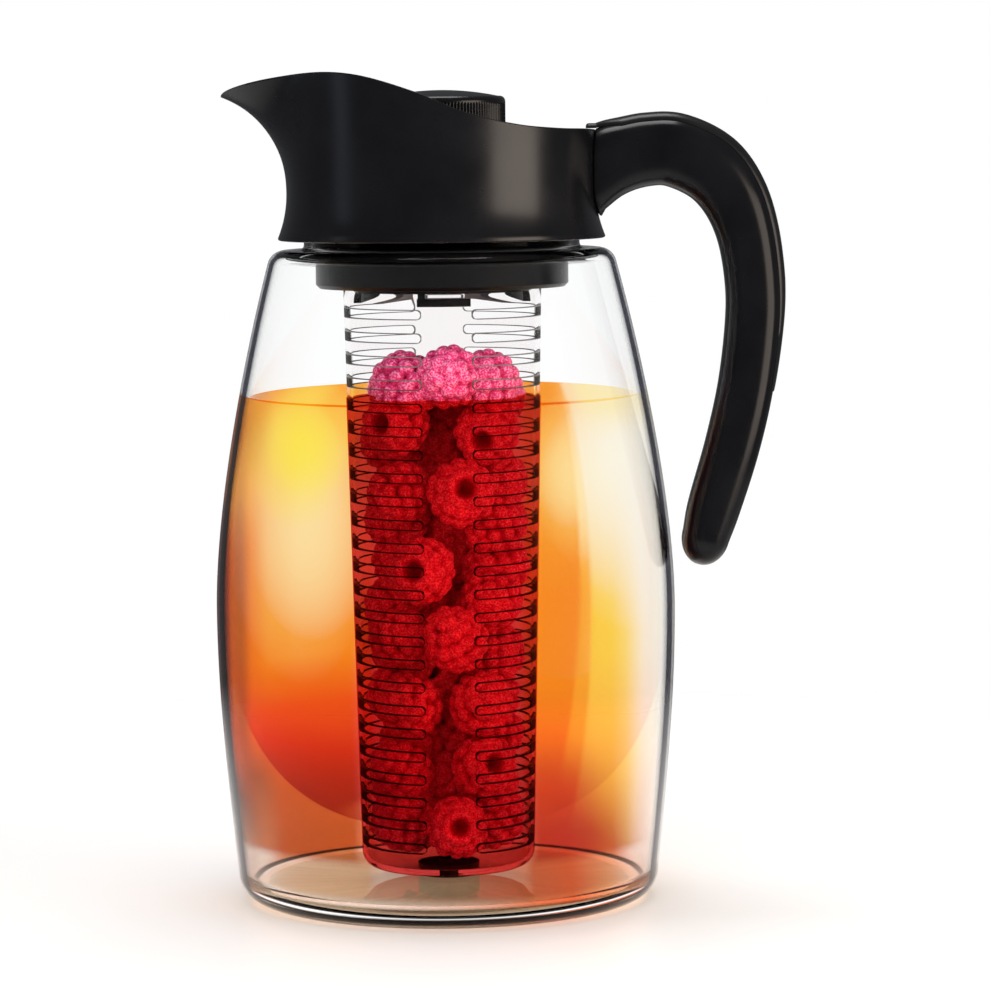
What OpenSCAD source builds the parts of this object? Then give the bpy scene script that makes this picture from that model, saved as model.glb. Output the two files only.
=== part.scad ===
// Iced tea pitcher: a glass jug with a black spout collar and handle, a lid plug with a
// pour gate turned by a knurled knob, and a clear slotted infusion core on a bayonet.
// Millimetres, +Z up, spout towards -X, handle towards +X, origin at the centre of the base.

/* [Glass jug] */
// Outer radius just above the rounded bottom corner
heel_r = 68.5; // [64:0.5:71]
// Rounding radius of the bottom corner
heel_round = 9; // [6:0.5:11]
// Largest outer radius
belly_r = 74.4; // [73:0.2:82]
// Height of the largest radius
belly_z = 95; // [85:1:105]
// Outer radius where the side meets the shoulder
shoulder_r = 56.4; // [55:0.2:60]
// Height of the top of the shoulder
shoulder_z = 211; // [200:1:225]
// Rounding radius of the shoulder
shoulder_round = 5.5; // [4.5:0.1:6]
// Outer radius of the neck
neck_r = 44.5; // [43:0.1:46]
// Height of the neck above the shoulder
neck_h = 24; // [22:0.5:27]
// Thickness of the glass wall
glass_wall = 3.2; // [2.6:0.1:3.8]
// Thickness of the glass floor
glass_floor = 6.5; // [4:0.5:9]
// Rounding radius inside the bottom corner
floor_round = 5; // [4:0.5:10]
// Section radius of the retaining bead round the neck
bead_r = 1.4; // [1:0.1:1.8]
// Height of the retaining bead above the shoulder
bead_up = 13; // [9:0.5:16]

/* [Spout collar] */
// Open gap between the shoulder and the collar
collar_gap = 3.2; // [2:0.1:5]
// Thickness of the collar wall
collar_wall = 2.2; // [1.6:0.1:2.8]
// How far the bottom edge flares out
collar_flare = 3.2; // [0:0.1:4]
// Height of the waist above the bottom edge
waist_up = 15; // [10:0.5:18]
// Height of the rim at the handle above the bottom edge
rim_up = 34.7; // [33:0.1:40]
// How much higher the rim stands beside the spout
rim_rise = 18.9; // [10:0.1:24]
// How far the spout tip reaches beyond the waist
spout_reach = 21.1; // [12:0.1:28]
// Angle over which the spout spreads from its tip, degrees
spout_spread = 22; // [16:1:30]

/* [Neck ring] */
// Thickness of the ring between neck and collar
ring_wall = 2.9; // [2.4:0.1:4]
// Height of the ring flange above the gasket
flange_h = 2.5; // [2:0.1:4]
// Height of the gasket on the glass rim
gasket_h = 1.5; // [1:0.1:2.5]

/* [Handle] */
// Finger room between the belly and the grip
finger_gap = 16.9; // [15:0.1:26]
// How far the top of the root stands above the collar rim
root_over = 0.5; // [0.4:0.1:1.5]
// How far the grip hangs below the root centre
handle_drop = 118.3; // [100:0.1:130]
// Width of the grip
grip_w = 22; // [18:0.5:28]
// Depth of the grip at mid height
grip_t = 18; // [16:0.2:22]
// Depth of the grip at the root
root_t = 28.4; // [26:0.2:29]
// Length of the round end of the grip
tip_len = 9.5; // [6:0.5:12]
// Width of the spine strip
spine_w = 15; // [10:0.5:17]
// Width of the strip's tongue over the collar rim
tongue_w = 8; // [5:0.5:9]
// Thickness of the spine strip
spine_t = 1.4; // [1:0.1:2]
// How far the strip laps inwards over the collar rim
spine_lap = 3; // [1:0.1:3.2]

/* [Lid plug] */
// Height of the plug below the deck
plug_h = 40.4; // [36:0.2:48]
// Thickness of the plug side wall
plug_wall = 2.4; // [2.2:0.1:3.2]
// Thickness of the plug floor
plug_floor = 3; // [2.4:0.1:4]
// Chamfer round the bottom edge of the plug
plug_chamfer = 1.2; // [0.6:0.1:2]
// Height of the seal centre above the plug bottom
seal_up = 26; // [22:0.5:30]
// Height of the seal
seal_h = 5; // [3:0.1:6]
// Depth of the seal groove
seal_groove = 1.2; // [0.8:0.1:1.4]
// Thickness of the lid deck
deck_h = 3; // [2:0.1:4]
// How far the deck edge stands in from the neck ring
deck_inset = 1.65; // [1.2:0.05:3]
// Height of the rib on the plug that locates the deck
rib_h = 1.2; // [0.8:0.1:1.5]
// Width of the rib on the plug that locates the deck
rib_w = 0.9; // [0.6:0.1:1.2]
// Diameter of a strainer hole in the deck
strainer_d = 2.8; // [2:0.1:3.4]
// Radius of the innermost row of strainer holes
strainer_r = 25.5; // [24:0.1:26]
// Distance between rows of strainer holes
strainer_step = 4; // [3.8:0.1:4.4]

/* [Pour gate] */
// Half angle of a pour window, degrees
window_half = 30; // [15:1:38]
// Inner radius of a pour window
window_in = 10; // [9:0.1:13]
// Material left between a pour window and the core socket
window_land = 1.5; // [1:0.1:4]
// Thickness of the gate disc
gate_h = 2.4; // [1.6:0.1:4]
// Thickness of the gate seal
gate_seal_h = 1.4; // [1:0.1:2]
// Radius of the stem
stem_r = 4; // [3.6:0.1:5]
// Radius of the pivot under the stem
pivot_r = 3; // [2:0.1:3.4]
// Radius of the stem flange
stem_flange_r = 8; // [6.8:0.1:8.8]
// Thickness of the stem flange
stem_flange_h = 2; // [1:0.1:3]
// Thickness of the bush round the stem
bush_wall = 2.2; // [1.4:0.1:3]
// Width of the bush flange beyond the bush
bush_lip = 2.4; // [1.5:0.1:3]
// Thickness of the bush flange
bush_lip_h = 1.2; // [0.8:0.1:2]
// How far the bush reaches below the deck
bush_depth = 2; // [1:0.5:4]
// Section radius of the stem ring
stem_ring_r = 0.7; // [0.5:0.05:0.9]

/* [Knob] */
// Outer radius of the knob
knob_r = 21; // [18:0.2:23]
// Height of the knob, without its domed insert
knob_h = 17.2; // [15:0.1:22]
// Thickness of the knob wall
knob_wall = 2.2; // [1.6:0.1:3]
// Rounding radius of the knob's top edge
knob_round = 1.8; // [0.8:0.1:2.2]
// Number of flutes round the knob
flutes = 96; // [36:12:120]
// Depth of a flute
flute_d = 0.5; // [0.2:0.05:0.8]
// Radius of the knob hub
hub_r = 7.5; // [6.5:0.1:9]
// Depth of the seat for the insert
insert_seat = 1.6; // [1:0.1:2.2]
// Height of the dome on the insert
dome_h = 2; // [0.5:0.1:3]
// Radius of the knob screw's shank
screw_r = 1.25; // [1:0.05:1.6]
// Length of the knob screw's shank
screw_len = 10; // [6:0.5:12]
// Radius of the knob screw's head
screw_head_r = 2.8; // [2.4:0.1:3.4]
// Height of the knob screw's head
screw_head_h = 1.8; // [1.2:0.1:2.4]

/* [Infusion core] */
// Outer radius of the core at its top
core_top_r = 32; // [30:0.2:35]
// Outer radius of the core at its bottom
core_bottom_r = 27.9; // [25:0.1:30]
// Wall of the core
core_wall = 1.8; // [1.4:0.1:2.2]
// Rounding radius of the core's bottom corner
core_round = 5; // [3:0.5:8]
// Space between the jug floor and the core
core_clear = 3.9; // [3.7:0.1:8]
// Height of a slot
slot_h = 2.8; // [1.5:0.1:3.6]
// Distance between rows of slots
slot_pitch = 7.45; // [6:0.05:9]
// Distance from the core top to the first row
slot_first = 7.4; // [7:0.1:12]
// Width of the plain land between the two columns of slots
land_w = 16.6; // [10:0.2:22]
// Angle of the core about the axis at rest, degrees
core_clock = 3; // [0:1:6]
// Radius of the foot under the core
foot_r = 10; // [7:0.5:14]
// Height of the foot under the core
foot_h = 3.1; // [1.5:0.1:3.4]
// Radius of the foot's peg
foot_peg_r = 3; // [2:0.1:4]

/* [Bayonet] */
// Number of bayonet hooks
hooks = 3; // [2:1:3]
// Angle covered by a hook, degrees
hook_span = 33; // [26:1:40]
// Angle covered by a hook's stem, degrees
hook_stem = 5; // [4:0.5:8]
// Angle covered by a tab on the core, degrees
tab_span = 22; // [12:1:24]
// Thickness of a tab on the core
tab_h = 1.1; // [1:0.1:1.8]
// Radial width of a hook
hook_w = 2.6; // [2:0.1:3.4]
// Thickness of a hook's foot
hook_foot_h = 2.5; // [1.5:0.1:3.5]
// Thickness of the socket plate
socket_h = 1.3; // [1.2:0.1:2.4]
// Radial width of the socket plate
socket_w = 5.4; // [4.4:0.1:6]
// Radius of a staking peg on the socket
peg_r = 1.3; // [1:0.1:1.6]
// Angle of the first hook about the axis, degrees
hook_clock = -105; // [-180:1:180]

/* [Fits] */
// Clearance between pieces that are fixed together
fixed_fit = 0.15; // [0.1:0.05:0.25]
// Clearance between pieces that turn or slide on each other
running_fit = 0.2; // [0.15:0.05:0.3]
// Clearance between the plug and the neck bore
plug_fit = 0.5; // [0.3:0.05:0.8]
// Clearance between the seal and the neck bore
seal_fit = 0.15; // [0.1:0.05:0.25]
// Space between the knob and the deck
knob_gap = 0.8; // [0.4:0.1:1.5]
// Space between the core and the plug
core_gap = 0.4; // [0.3:0.1:0.8]

/* [Hidden] */
$fn = 96;
black = [0.04, 0.04, 0.05];
dark_grey = [0.16, 0.16, 0.17];
silicone_grey = [0.55, 0.56, 0.58];
steel = [0.75, 0.75, 0.76];
clear_glass = [0.86, 0.93, 0.93, 0.35];
clear_plastic = [0.92, 0.9, 0.88, 0.45];

// Space round the gate, web under the knob screw, and how far a cut runs past a face
gate_room = 1;
hub_web = 2;
past = 1;
// Flats of the stem's square drive and square key, as shares of its radius
drive_share = 1.6;
key_share = 1.4;
drive_w = drive_share * stem_r;
key_w = key_share * stem_r;

// Heights and radii that follow from the driving sizes
neck_top_z = shoulder_z + neck_h;
bore_r = neck_r - glass_wall;
bead_z = shoulder_z + bead_up;
collar_z = shoulder_z + collar_gap;
waist_z = collar_z + waist_up;
ring_in_r = neck_r + fixed_fit;
ring_out_r = ring_in_r + ring_wall;
waist_r = ring_out_r + fixed_fit + collar_wall;
flange_in_r = bore_r + plug_fit;
gasket_top_z = neck_top_z + gasket_h;
ring_top_z = gasket_top_z + flange_h;
plug_z = ring_top_z - plug_h;
plug_r = bore_r - plug_fit;
plug_in_r = plug_r - plug_wall;
floor_top_z = plug_z + plug_floor;
seal_z = plug_z + seal_up;
seal_in_r = plug_r - seal_groove;
deck_top_z = ring_top_z + deck_h;
deck_r = ring_out_r - deck_inset;
rib_r = (plug_in_r + plug_r) / 2;
core_top_z = plug_z - core_gap;
core_z = glass_floor + core_clear;
core_in_r = core_top_r - core_wall;
socket_r = core_in_r - running_fit;
socket_in_r = socket_r - socket_w;
hook_out_r = socket_r - fixed_fit;
hook_in_r = hook_out_r - hook_w;
socket_z = plug_z - socket_h;
tab_top_z = socket_z - running_fit;
hook_top_z = tab_top_z - tab_h - running_fit;
hook_z = hook_top_z - hook_foot_h;
window_out = socket_in_r - window_land;
gate_z = floor_top_z + running_fit;
gate_disc_z = gate_z + gate_seal_h;
gate_top_z = gate_disc_z + gate_h;
gate_r = plug_in_r - gate_room;
bush_in_r = stem_r + running_fit;
bush_out_r = bush_in_r + bush_wall;
bush_top_z = deck_top_z + bush_lip_h;
knob_z = deck_top_z + knob_gap;
knob_top_z = knob_z + knob_h;
insert_r = knob_r - knob_round - knob_wall / 4;
insert_z = knob_top_z - insert_seat;
hub_z = bush_top_z + running_fit;
screw_seat_z = insert_z - screw_head_h - fixed_fit;
stem_top_z = screw_seat_z - hub_web - fixed_fit;
stem_ring_z = ring_top_z + deck_h / 2;
stem_ring_mid_r = stem_r - stem_ring_r + running_fit / 2;

// A round run of points about a centre, between two angles
function arc(centre, r, from, to, n = 6) =
    [for (i = [0:n]) let (a = from + (to - from) * i / n) centre + r * [cos(a), sin(a)]];

// A cubic curve between the first and the last of four points
function bezier(p, n) =
    [for (i = [0:n]) let (t = i / n, s = 1 - t)
        s * s * s * p[0] + 3 * s * s * t * p[1] + 3 * s * t * t * p[2] + t * t * t * p[3]];

function reversed(list) = [for (i = [len(list) - 1:-1:0]) list[i]];

// A smooth curve through the listed rows, by the place t along them, from a guide row before them
function through(rows, guide, t) =
    let (last = len(rows) - 1,
        i = min(floor(t), last - 1),
        f = t - i,
        a = i == 0 ? guide : rows[i - 1],
        b = rows[i],
        c = rows[i + 1],
        d = i + 2 > last ? 2 * c - b : rows[i + 2])
    0.5 * (2 * b + (c - a) * f + (2 * a - 5 * b + 4 * c - d) * f * f
        + (3 * b - a - 3 * c + d) * f * f * f);

// A closed skin over rings of points, with a fan over each end
module loft(rings) {
    count = len(rings);
    sides = len(rings[0]);
    ends = [for (ring = [rings[0], rings[count - 1]]) [for (p = ring) 1] * ring / sides];
    points = concat([for (ring = rings) each ring], ends);
    skin = [for (i = [0:count - 2], j = [0:sides - 1])
        let (k = (j + 1) % sides, low = i * sides, high = low + sides)
        each [[low + j, high + j, high + k], [low + j, high + k, low + k]]];
    first_fan = [for (j = [0:sides - 1]) [count * sides, j, (j + 1) % sides]];
    top = (count - 1) * sides;
    last_fan = [for (j = [0:sides - 1]) [count * sides + 1, top + (j + 1) % sides, top + j]];
    polyhedron(points, concat(skin, first_fan, last_fan));
}

// A closed skin over loops of points that follow each other round the axis
module ring_loft(loops) {
    count = len(loops);
    sides = len(loops[0]);
    skin = [for (i = [0:count - 1], j = [0:sides - 1])
        let (k = (j + 1) % sides, low = i * sides, high = ((i + 1) % count) * sides)
        each [[low + j, low + k, high + k], [low + j, high + k, high + j]]];
    polyhedron([for (loop = loops) each loop], skin);
}

// A flat sector of a ring, between two radii and two angles
module sector(inner, outer, from, to) {
    steps = 8;
    reach = outer / cos((to - from) / steps);
    intersection() {
        difference() {
            circle(outer);
            circle(inner);
        }
        polygon(concat([[0, 0]], arc([0, 0], reach, from, to, steps)));
    }
}

// Glass jug

// Lean of the side at the shoulder in degrees, and how long the curve's handles are
side_lean = 15;
heel_pull = [2.8, 0.31];
below_belly = 0.35;
above_belly = 0.27;
below_shoulder = 0.32;

// The side of the jug from the heel to the shoulder, set in by a distance
function jug_side(inset, start_z, end_round) =
    let (rise = belly_z - start_z,
        corner = [shoulder_r - inset - end_round, shoulder_z - shoulder_round],
        end = corner + end_round * [cos(side_lean), sin(side_lean)],
        climb = end[1] - belly_z,
        heel = [heel_r - inset, start_z],
        belly = [belly_r - inset, belly_z],
        low = [heel, heel + [heel_pull[0], heel_pull[1] * rise], belly - [0, below_belly * rise], belly],
        high = [belly, belly + [0, above_belly * climb],
            end + below_shoulder * climb * [tan(side_lean), -1], end])
    concat(bezier(low, 10), [for (p = bezier(high, 14)) if (p != belly) p],
        [for (p = arc(corner, end_round, side_lean, 90)) if (p != end) p]);

module glass_jug() {
    root_round = 1.8;
    lip = 1.2;
    inner_round = shoulder_round - glass_wall;
    heel = arc([heel_r - heel_round, heel_round], heel_round, -90, 0);
    inner_heel = arc([heel_r - glass_wall - floor_round, glass_floor + floor_round], floor_round, -90, 0);
    neck_root = arc([neck_r + root_round, shoulder_z + root_round], root_round, 270, 180);
    bead = arc([neck_r, bead_z], bead_r, -90, 90);
    lip_out = arc([neck_r - lip, neck_top_z - lip], lip, 0, 90, 4);
    lip_in = arc([bore_r + lip, neck_top_z - lip], lip, 90, 180, 4);
    bore_root = arc([bore_r + lip, shoulder_z - glass_wall + lip], lip, 180, 270, 4);
    outside = [for (p = jug_side(0, heel_round, shoulder_round)) if (p[1] > heel_round) p];
    inside_z = glass_floor + floor_round;
    inside = [for (p = jug_side(glass_wall, inside_z, inner_round)) if (p[1] > inside_z) p];
    color(clear_glass)
        rotate_extrude()
            polygon(concat([[0, 0]], heel, outside, neck_root, bead, lip_out, lip_in, bore_root,
                reversed(inside), reversed(inner_heel), [[0, glass_floor]]));
}

// Spout collar

// Height of the rim, as a share of its rise, at even steps from the handle round to the spout
rim_shares = [0, 0.015, 0.03, 0.104, 0.307, 0.679, 0.936, 1, 0.9, 0.624];
rim_step = 180 / (len(rim_shares) - 1);

function rim_z(angle) = collar_z + rim_up + rim_rise * through(rim_shares, rim_shares[1], angle / rim_step);

// How the spout leans out towards the rim: a long gentle part and a short sharp lip
lean_power = 2.3;
lip_power = 10;
lip_share = 0.2;

// Outer radius of the collar at an angle from the handle and a height
function collar_r(angle, z) =
    let (below = max(0, (waist_z - z) / waist_up),
        above = max(0, (z - waist_z) / (rim_z(angle) - waist_z)),
        spout = spout_reach * exp(-pow((180 - angle) / spout_spread, 2)))
    waist_r + collar_flare * below * below
        + spout * ((1 - lip_share) * pow(above, lean_power) + lip_share * pow(above, lip_power));

// Heights of a column of the collar, as shares, closer together near the rim
rim_crowd = 1.4;

function collar_rows(n) = [for (i = [0:n]) 1 - pow(1 - i / n, rim_crowd)];

// Share by which the wall thins at the rim, and how late it does so
rim_thin = 0.3;
thin_power = 4;

function collar_loop(turn) =
    let (angle = turn > 180 ? 360 - turn : turn,
        top = rim_z(angle) - collar_wall / 8,
        zs = [for (s = collar_rows(16)) collar_z + s * (top - collar_z)],
        rim = collar_r(angle, top),
        outer = [for (z = zs) [collar_r(angle, z), z]],
        crest = [[rim - collar_wall * (1 - rim_thin) / 2, rim_z(angle)]],
        inner = [for (z = reversed(zs))
            let (up = (z - collar_z) / (top - collar_z))
            [collar_r(angle, z) - collar_wall * (1 - rim_thin * pow(up, thin_power)), z]])
    [for (p = concat(outer, crest, inner)) [p[0] * cos(turn), p[0] * sin(turn), p[1]]];

module spout_collar() {
    columns = 80;
    color(black)
        ring_loft([for (i = [0:columns - 1]) collar_loop(360 * i / columns)]);
}

// Ring that grips the neck inside the collar
module neck_ring() {
    groove_r = ring_in_r + bead_r;
    groove = bead_r + fixed_fit;
    ring_z = collar_z + 4 * fixed_fit;
    color(black)
        rotate_extrude()
            polygon([[ring_in_r, ring_z], [ring_out_r, ring_z], [ring_out_r, ring_top_z],
                [flange_in_r, ring_top_z], [flange_in_r, gasket_top_z], [ring_in_r, gasket_top_z],
                [ring_in_r, bead_z + groove], [groove_r, bead_z + groove],
                [groove_r, bead_z - groove], [ring_in_r, bead_z - groove]]);
}

// Flat gasket between the glass rim and the ring flange
module neck_gasket() {
    color(silicone_grey)
        translate([0, 0, neck_top_z])
            linear_extrude(gasket_h)
                difference() {
                    circle(neck_r - fixed_fit);
                    circle(flange_in_r);
                }
}

// Handle

root_z = collar_z + rim_up + root_over - root_t / 2;
handle_reach = belly_r + finger_gap + grip_t / 2 - waist_r;
// Centre line of the grip: shares of its reach, of its drop and of its depth at mid height
root_share = root_t / grip_t;
grip_path = [[0, 0, root_share], [0.171, 0.037, 1.31], [0.341, 0.054, 1.235], [0.517, 0.05, 1.25],
    [0.728, 0.005, 1.23], [0.87, -0.071, 1.135], [0.958, -0.173, 1.04], [1.001, -0.302, 1],
    [1, -0.42, 1], [0.951, -0.589, 0.995], [0.862, -0.754, 0.985], [0.744, -0.919, 0.945],
    [0.69, -1, 0.845]];
grip_guide = [-grip_path[1][0], -grip_path[1][1], root_share];
grip_steps = 4;
grip_last = len(grip_path) - 1;
// Squareness of the grip's rounded section
section_power = 3;

// Centre point and depth of the grip at a place along its path
function grip_at(t) =
    let (row = through(grip_path, grip_guide, t))
    [waist_r + row[0] * handle_reach, root_z + row[1] * handle_drop, row[2] * grip_t];

// Direction that the sections face at a place along the path: level at the root, then along the path
upright_until = 2;

function path_way(t) =
    let (step = 0.01,
        d = grip_at(min(t + step, grip_last)) - grip_at(max(t - step, 0)))
    [d[0], d[1]] / norm([d[0], d[1]]);

function grip_way(t) =
    let (share = min(1, t / upright_until),
        way = (1 - share) * [1, 0] + share * path_way(max(t, upright_until)))
    way / norm(way);

// A point off the centre line: out across the path, and sideways
function grip_point(t, out, side) =
    let (c = grip_at(t), w = grip_way(t))
    [c[0] - w[1] * out, side, c[1] + w[0] * out];

function power_of(v, p) = sign(v) * pow(abs(v), p);

function grip_ring(t, size, ahead) =
    let (sides = 28,
        deep = size * grip_at(t)[2] / 2,
        wide = size * grip_w / 2,
        bend = 2 / section_power,
        w = grip_way(t))
    [for (j = [0:sides - 1])
        let (a = 360 * j / sides,
            p = grip_point(t, deep * power_of(cos(a), bend), wide * power_of(sin(a), bend)))
        p + ahead * [w[0], 0, w[1]]];

// A ring of the grip's root face, laid against the collar
function root_ring(size) =
    [for (p = grip_ring(0, size, 0))
        [sqrt(pow(collar_r(0, p[2]) + fixed_fit, 2) - p[1] * p[1]), p[1], p[2]]];

module handle_grip() {
    root_sizes = [0.02, 0.3, 0.6, 0.85, 1];
    tip_rings = 6;
    tip_turn = 85;
    root = [for (size = root_sizes) root_ring(size)];
    body = [for (i = [1:grip_last * grip_steps]) grip_ring(i / grip_steps, 1, 0)];
    tip = [for (i = [1:tip_rings])
        let (a = tip_turn * i / tip_rings)
        grip_ring(grip_last, cos(a), tip_len * sin(a))];
    color(black)
        loft(concat(root, body, tip));
}

// Strip along the outer edge of the grip, with a tongue over the collar rim, thinning out at its end
spine_fade = 7;
spine_end = 9;
spine_end_t = 0.3;
// Share by which the strip is thinner at its edges, and how close to them it thins
spine_edge = 0.6;
crown_power = 4;

// Depth of the grip's surface at a distance sideways from its middle
function grip_seat(t, side) =
    grip_at(t)[2] / 2 * pow(1 - pow(2 * abs(side) / grip_w, section_power), 1 / section_power);

function spine_ring(t, ahead) =
    let (n = 8,
        half = (tongue_w + (spine_w - tongue_w) * min(1, t)) / 2,
        gone = max(0, (t - spine_fade) / (spine_end - spine_fade)),
        thick = spine_t + (spine_end_t - spine_t) * gone,
        w = grip_way(t),
        sides = [for (j = [0:n]) half * (2 * j / n - 1)],
        under = [for (y = sides) grip_point(t, grip_seat(t, y) + fixed_fit / 2, y)],
        over = [for (y = sides)
            let (crown = thick * (1 - spine_edge * pow(abs(y) / half, crown_power)))
            grip_point(t, grip_seat(t, y) + fixed_fit / 2 + crown, y)])
    [for (p = concat(under, reversed(over))) p + ahead * [w[0], 0, w[1]]];

module handle_spine() {
    tongue = [for (d = [-spine_lap, -spine_lap / 2]) spine_ring(0, d)];
    run = [for (i = [0:spine_end * grip_steps]) spine_ring(i / grip_steps, 0)];
    color(dark_grey)
        loft(concat(tongue, run));
}

// Lid plug

module pour_windows(turn) {
    for (side = [0, 180])
        sector(window_in, window_out, turn + side - window_half, turn + side + window_half);
}

// Places of the staking pegs that hold the socket under the plug
module at_pegs() {
    for (i = [0:hooks - 1])
        rotate(hook_clock + (i + 0.5) * 360 / hooks)
            translate([socket_in_r + socket_w / 2, 0, 0])
                children();
}

module lid_plug() {
    groove = [seal_z - seal_h / 2 - fixed_fit / 2, seal_z + seal_h / 2 + fixed_fit / 2];
    color(black)
        difference() {
            rotate_extrude()
                polygon([[0, plug_z], [plug_r - plug_chamfer, plug_z], [plug_r, plug_z + plug_chamfer],
                    [plug_r, groove[0]], [seal_in_r, groove[0]], [seal_in_r, groove[1]],
                    [plug_r, groove[1]], [plug_r, ring_top_z], [rib_r + rib_w / 2, ring_top_z],
                    [rib_r + rib_w / 2, ring_top_z + rib_h], [rib_r - rib_w / 2, ring_top_z + rib_h],
                    [rib_r - rib_w / 2, ring_top_z], [plug_in_r, ring_top_z],
                    [plug_in_r, floor_top_z], [0, floor_top_z]]);
            translate([0, 0, plug_z - past])
                linear_extrude(plug_floor + 2 * past)
                    pour_windows(0);
            translate([0, 0, plug_z - past])
                cylinder(h = plug_floor + 2 * past, r = pivot_r + running_fit);
            translate([0, 0, plug_z - past])
                at_pegs()
                    cylinder(h = plug_floor + 2 * past, r = peg_r + fixed_fit);
        }
}

// Two-lipped seal in the groove of the plug
module plug_seal() {
    body_w = seal_groove - fixed_fit / 2;
    lip_r = (seal_groove + plug_fit - seal_fit - fixed_fit) / 2;
    lip_out = bore_r - seal_fit;
    color(silicone_grey)
        rotate_extrude()
            union() {
                translate([seal_in_r + fixed_fit / 2, seal_z - seal_h / 2])
                    square([body_w, seal_h]);
                for (side = [-1, 1])
                    translate([lip_out - lip_r, seal_z + side * (seal_h / 2 - lip_r)])
                        circle(lip_r);
            }
}

// Deck over the plug, with strainer holes towards the spout, air holes towards the handle and a
// groove for the plug's rib
module lid_deck() {
    rows = 3;
    holes = 5;
    air_holes = 2;
    hole_step = 9;
    color(black)
        difference() {
            translate([0, 0, ring_top_z])
                cylinder(h = deck_h, r = deck_r);
            translate([0, 0, ring_top_z - past])
                linear_extrude(past + rib_h + fixed_fit)
                    difference() {
                        circle(rib_r + rib_w / 2 + fixed_fit);
                        circle(rib_r - rib_w / 2 - fixed_fit);
                    }
            translate([0, 0, ring_top_z - past])
                cylinder(h = deck_h + 2 * past, r = bush_out_r + fixed_fit);
            translate([0, 0, ring_top_z - past])
                linear_extrude(deck_h + 2 * past)
                    for (row = [0:rows - 1], i = [-holes:holes])
                        rotate(180 + hole_step * i)
                            translate([strainer_r + row * strainer_step, 0])
                                circle(d = strainer_d);
            translate([0, 0, ring_top_z - past])
                linear_extrude(deck_h + 2 * past)
                    for (i = [-air_holes:air_holes])
                        rotate(hole_step * i)
                            translate([strainer_r + strainer_step, 0])
                                circle(d = strainer_d);
        }
}

// Socket ring with bayonet hooks, staked under the plug
module core_socket() {
    color(black)
        union() {
            translate([0, 0, socket_z])
                linear_extrude(socket_h)
                    difference() {
                        circle(socket_r);
                        circle(socket_in_r);
                    }
            translate([0, 0, hook_z])
                linear_extrude(hook_foot_h)
                    hook_sectors(0, hook_span, 0);
            translate([0, 0, hook_z + hook_foot_h / 2])
                linear_extrude(socket_z + socket_h / 2 - hook_z - hook_foot_h / 2)
                    hook_sectors(hook_stem / 10, hook_stem, fixed_fit);
            translate([0, 0, socket_z + socket_h / 2])
                at_pegs()
                    cylinder(h = plug_floor + socket_h / 2, r = peg_r);
        }
}

// One sector a hook, from one angle on it to another, set in at both radii
module hook_sectors(from, to, inset) {
    for (i = [0:hooks - 1])
        let (start = hook_clock + i * 360 / hooks)
            sector(hook_in_r + inset, hook_out_r - inset, start + from, start + to);
}

// Bush in the deck that the stem turns in
module stem_bush() {
    color(silicone_grey)
        difference() {
            union() {
                translate([0, 0, ring_top_z - bush_depth])
                    cylinder(h = deck_h + bush_depth + bush_lip_h, r = bush_out_r);
                translate([0, 0, deck_top_z])
                    cylinder(h = bush_lip_h, r = bush_out_r + bush_lip);
            }
            translate([0, 0, ring_top_z - bush_depth - past])
                cylinder(h = deck_h + bush_depth + bush_lip_h + 2 * past, r = bush_in_r);
        }
}

// Knob and pour gate

module square_bar(width, from, to) {
    translate([-width / 2, -width / 2, from])
        cube([width, width, to - from]);
}

module knob_cap() {
    seat_r = insert_r + fixed_fit;
    in_r = knob_r - knob_wall;
    web_z = insert_z - knob_wall;
    edge = arc([knob_r - knob_round, knob_top_z - knob_round], knob_round, 0, 90);
    fluted = [for (i = [0:2 * flutes - 1])
        let (r = knob_r - (i % 2) * flute_d) r * [cos(180 * i / flutes), sin(180 * i / flutes)]];
    color(black)
        difference() {
            intersection() {
                rotate_extrude()
                    polygon(concat([[0, hub_z], [hub_r, hub_z], [hub_r, web_z], [in_r, web_z], [in_r, knob_z],
                        [knob_r, knob_z]], edge, [[seat_r, knob_top_z], [seat_r, insert_z], [0, insert_z]]));
                translate([0, 0, knob_z - past])
                    linear_extrude(knob_h + 2 * past)
                        polygon(fluted);
            }
            square_bar(key_w + 2 * fixed_fit, hub_z - past, stem_top_z + fixed_fit);
            translate([0, 0, hub_z])
                cylinder(h = knob_h, r = screw_r + fixed_fit);
            translate([0, 0, screw_seat_z])
                cylinder(h = knob_h, r = screw_head_r + fixed_fit);
        }
}

// Domed disc that covers the knob screw
module knob_insert() {
    ball_r = (insert_r * insert_r + dome_h * dome_h) / (2 * dome_h);
    half = asin(insert_r / ball_r);
    dome = arc([0, knob_top_z + dome_h - ball_r], ball_r, 90 - half, 90, 10);
    color(dark_grey)
        rotate_extrude()
            polygon(concat([[0, insert_z], [insert_r, insert_z]], dome));
}

module knob_screw() {
    slot_w = 0.9;
    slot_half = 0.7 * screw_head_r;
    color(steel)
        difference() {
            union() {
                translate([0, 0, screw_seat_z])
                    cylinder(h = screw_head_h, r = screw_head_r);
                translate([0, 0, screw_seat_z - screw_len])
                    cylinder(h = screw_len + screw_head_h / 2, r = screw_r);
            }
            for (turn = [0, 90])
                rotate(turn)
                    translate([-slot_half, -slot_w / 2, screw_seat_z + screw_head_h / 2])
                        cube([2 * slot_half, slot_w, screw_head_h]);
        }
}

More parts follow.
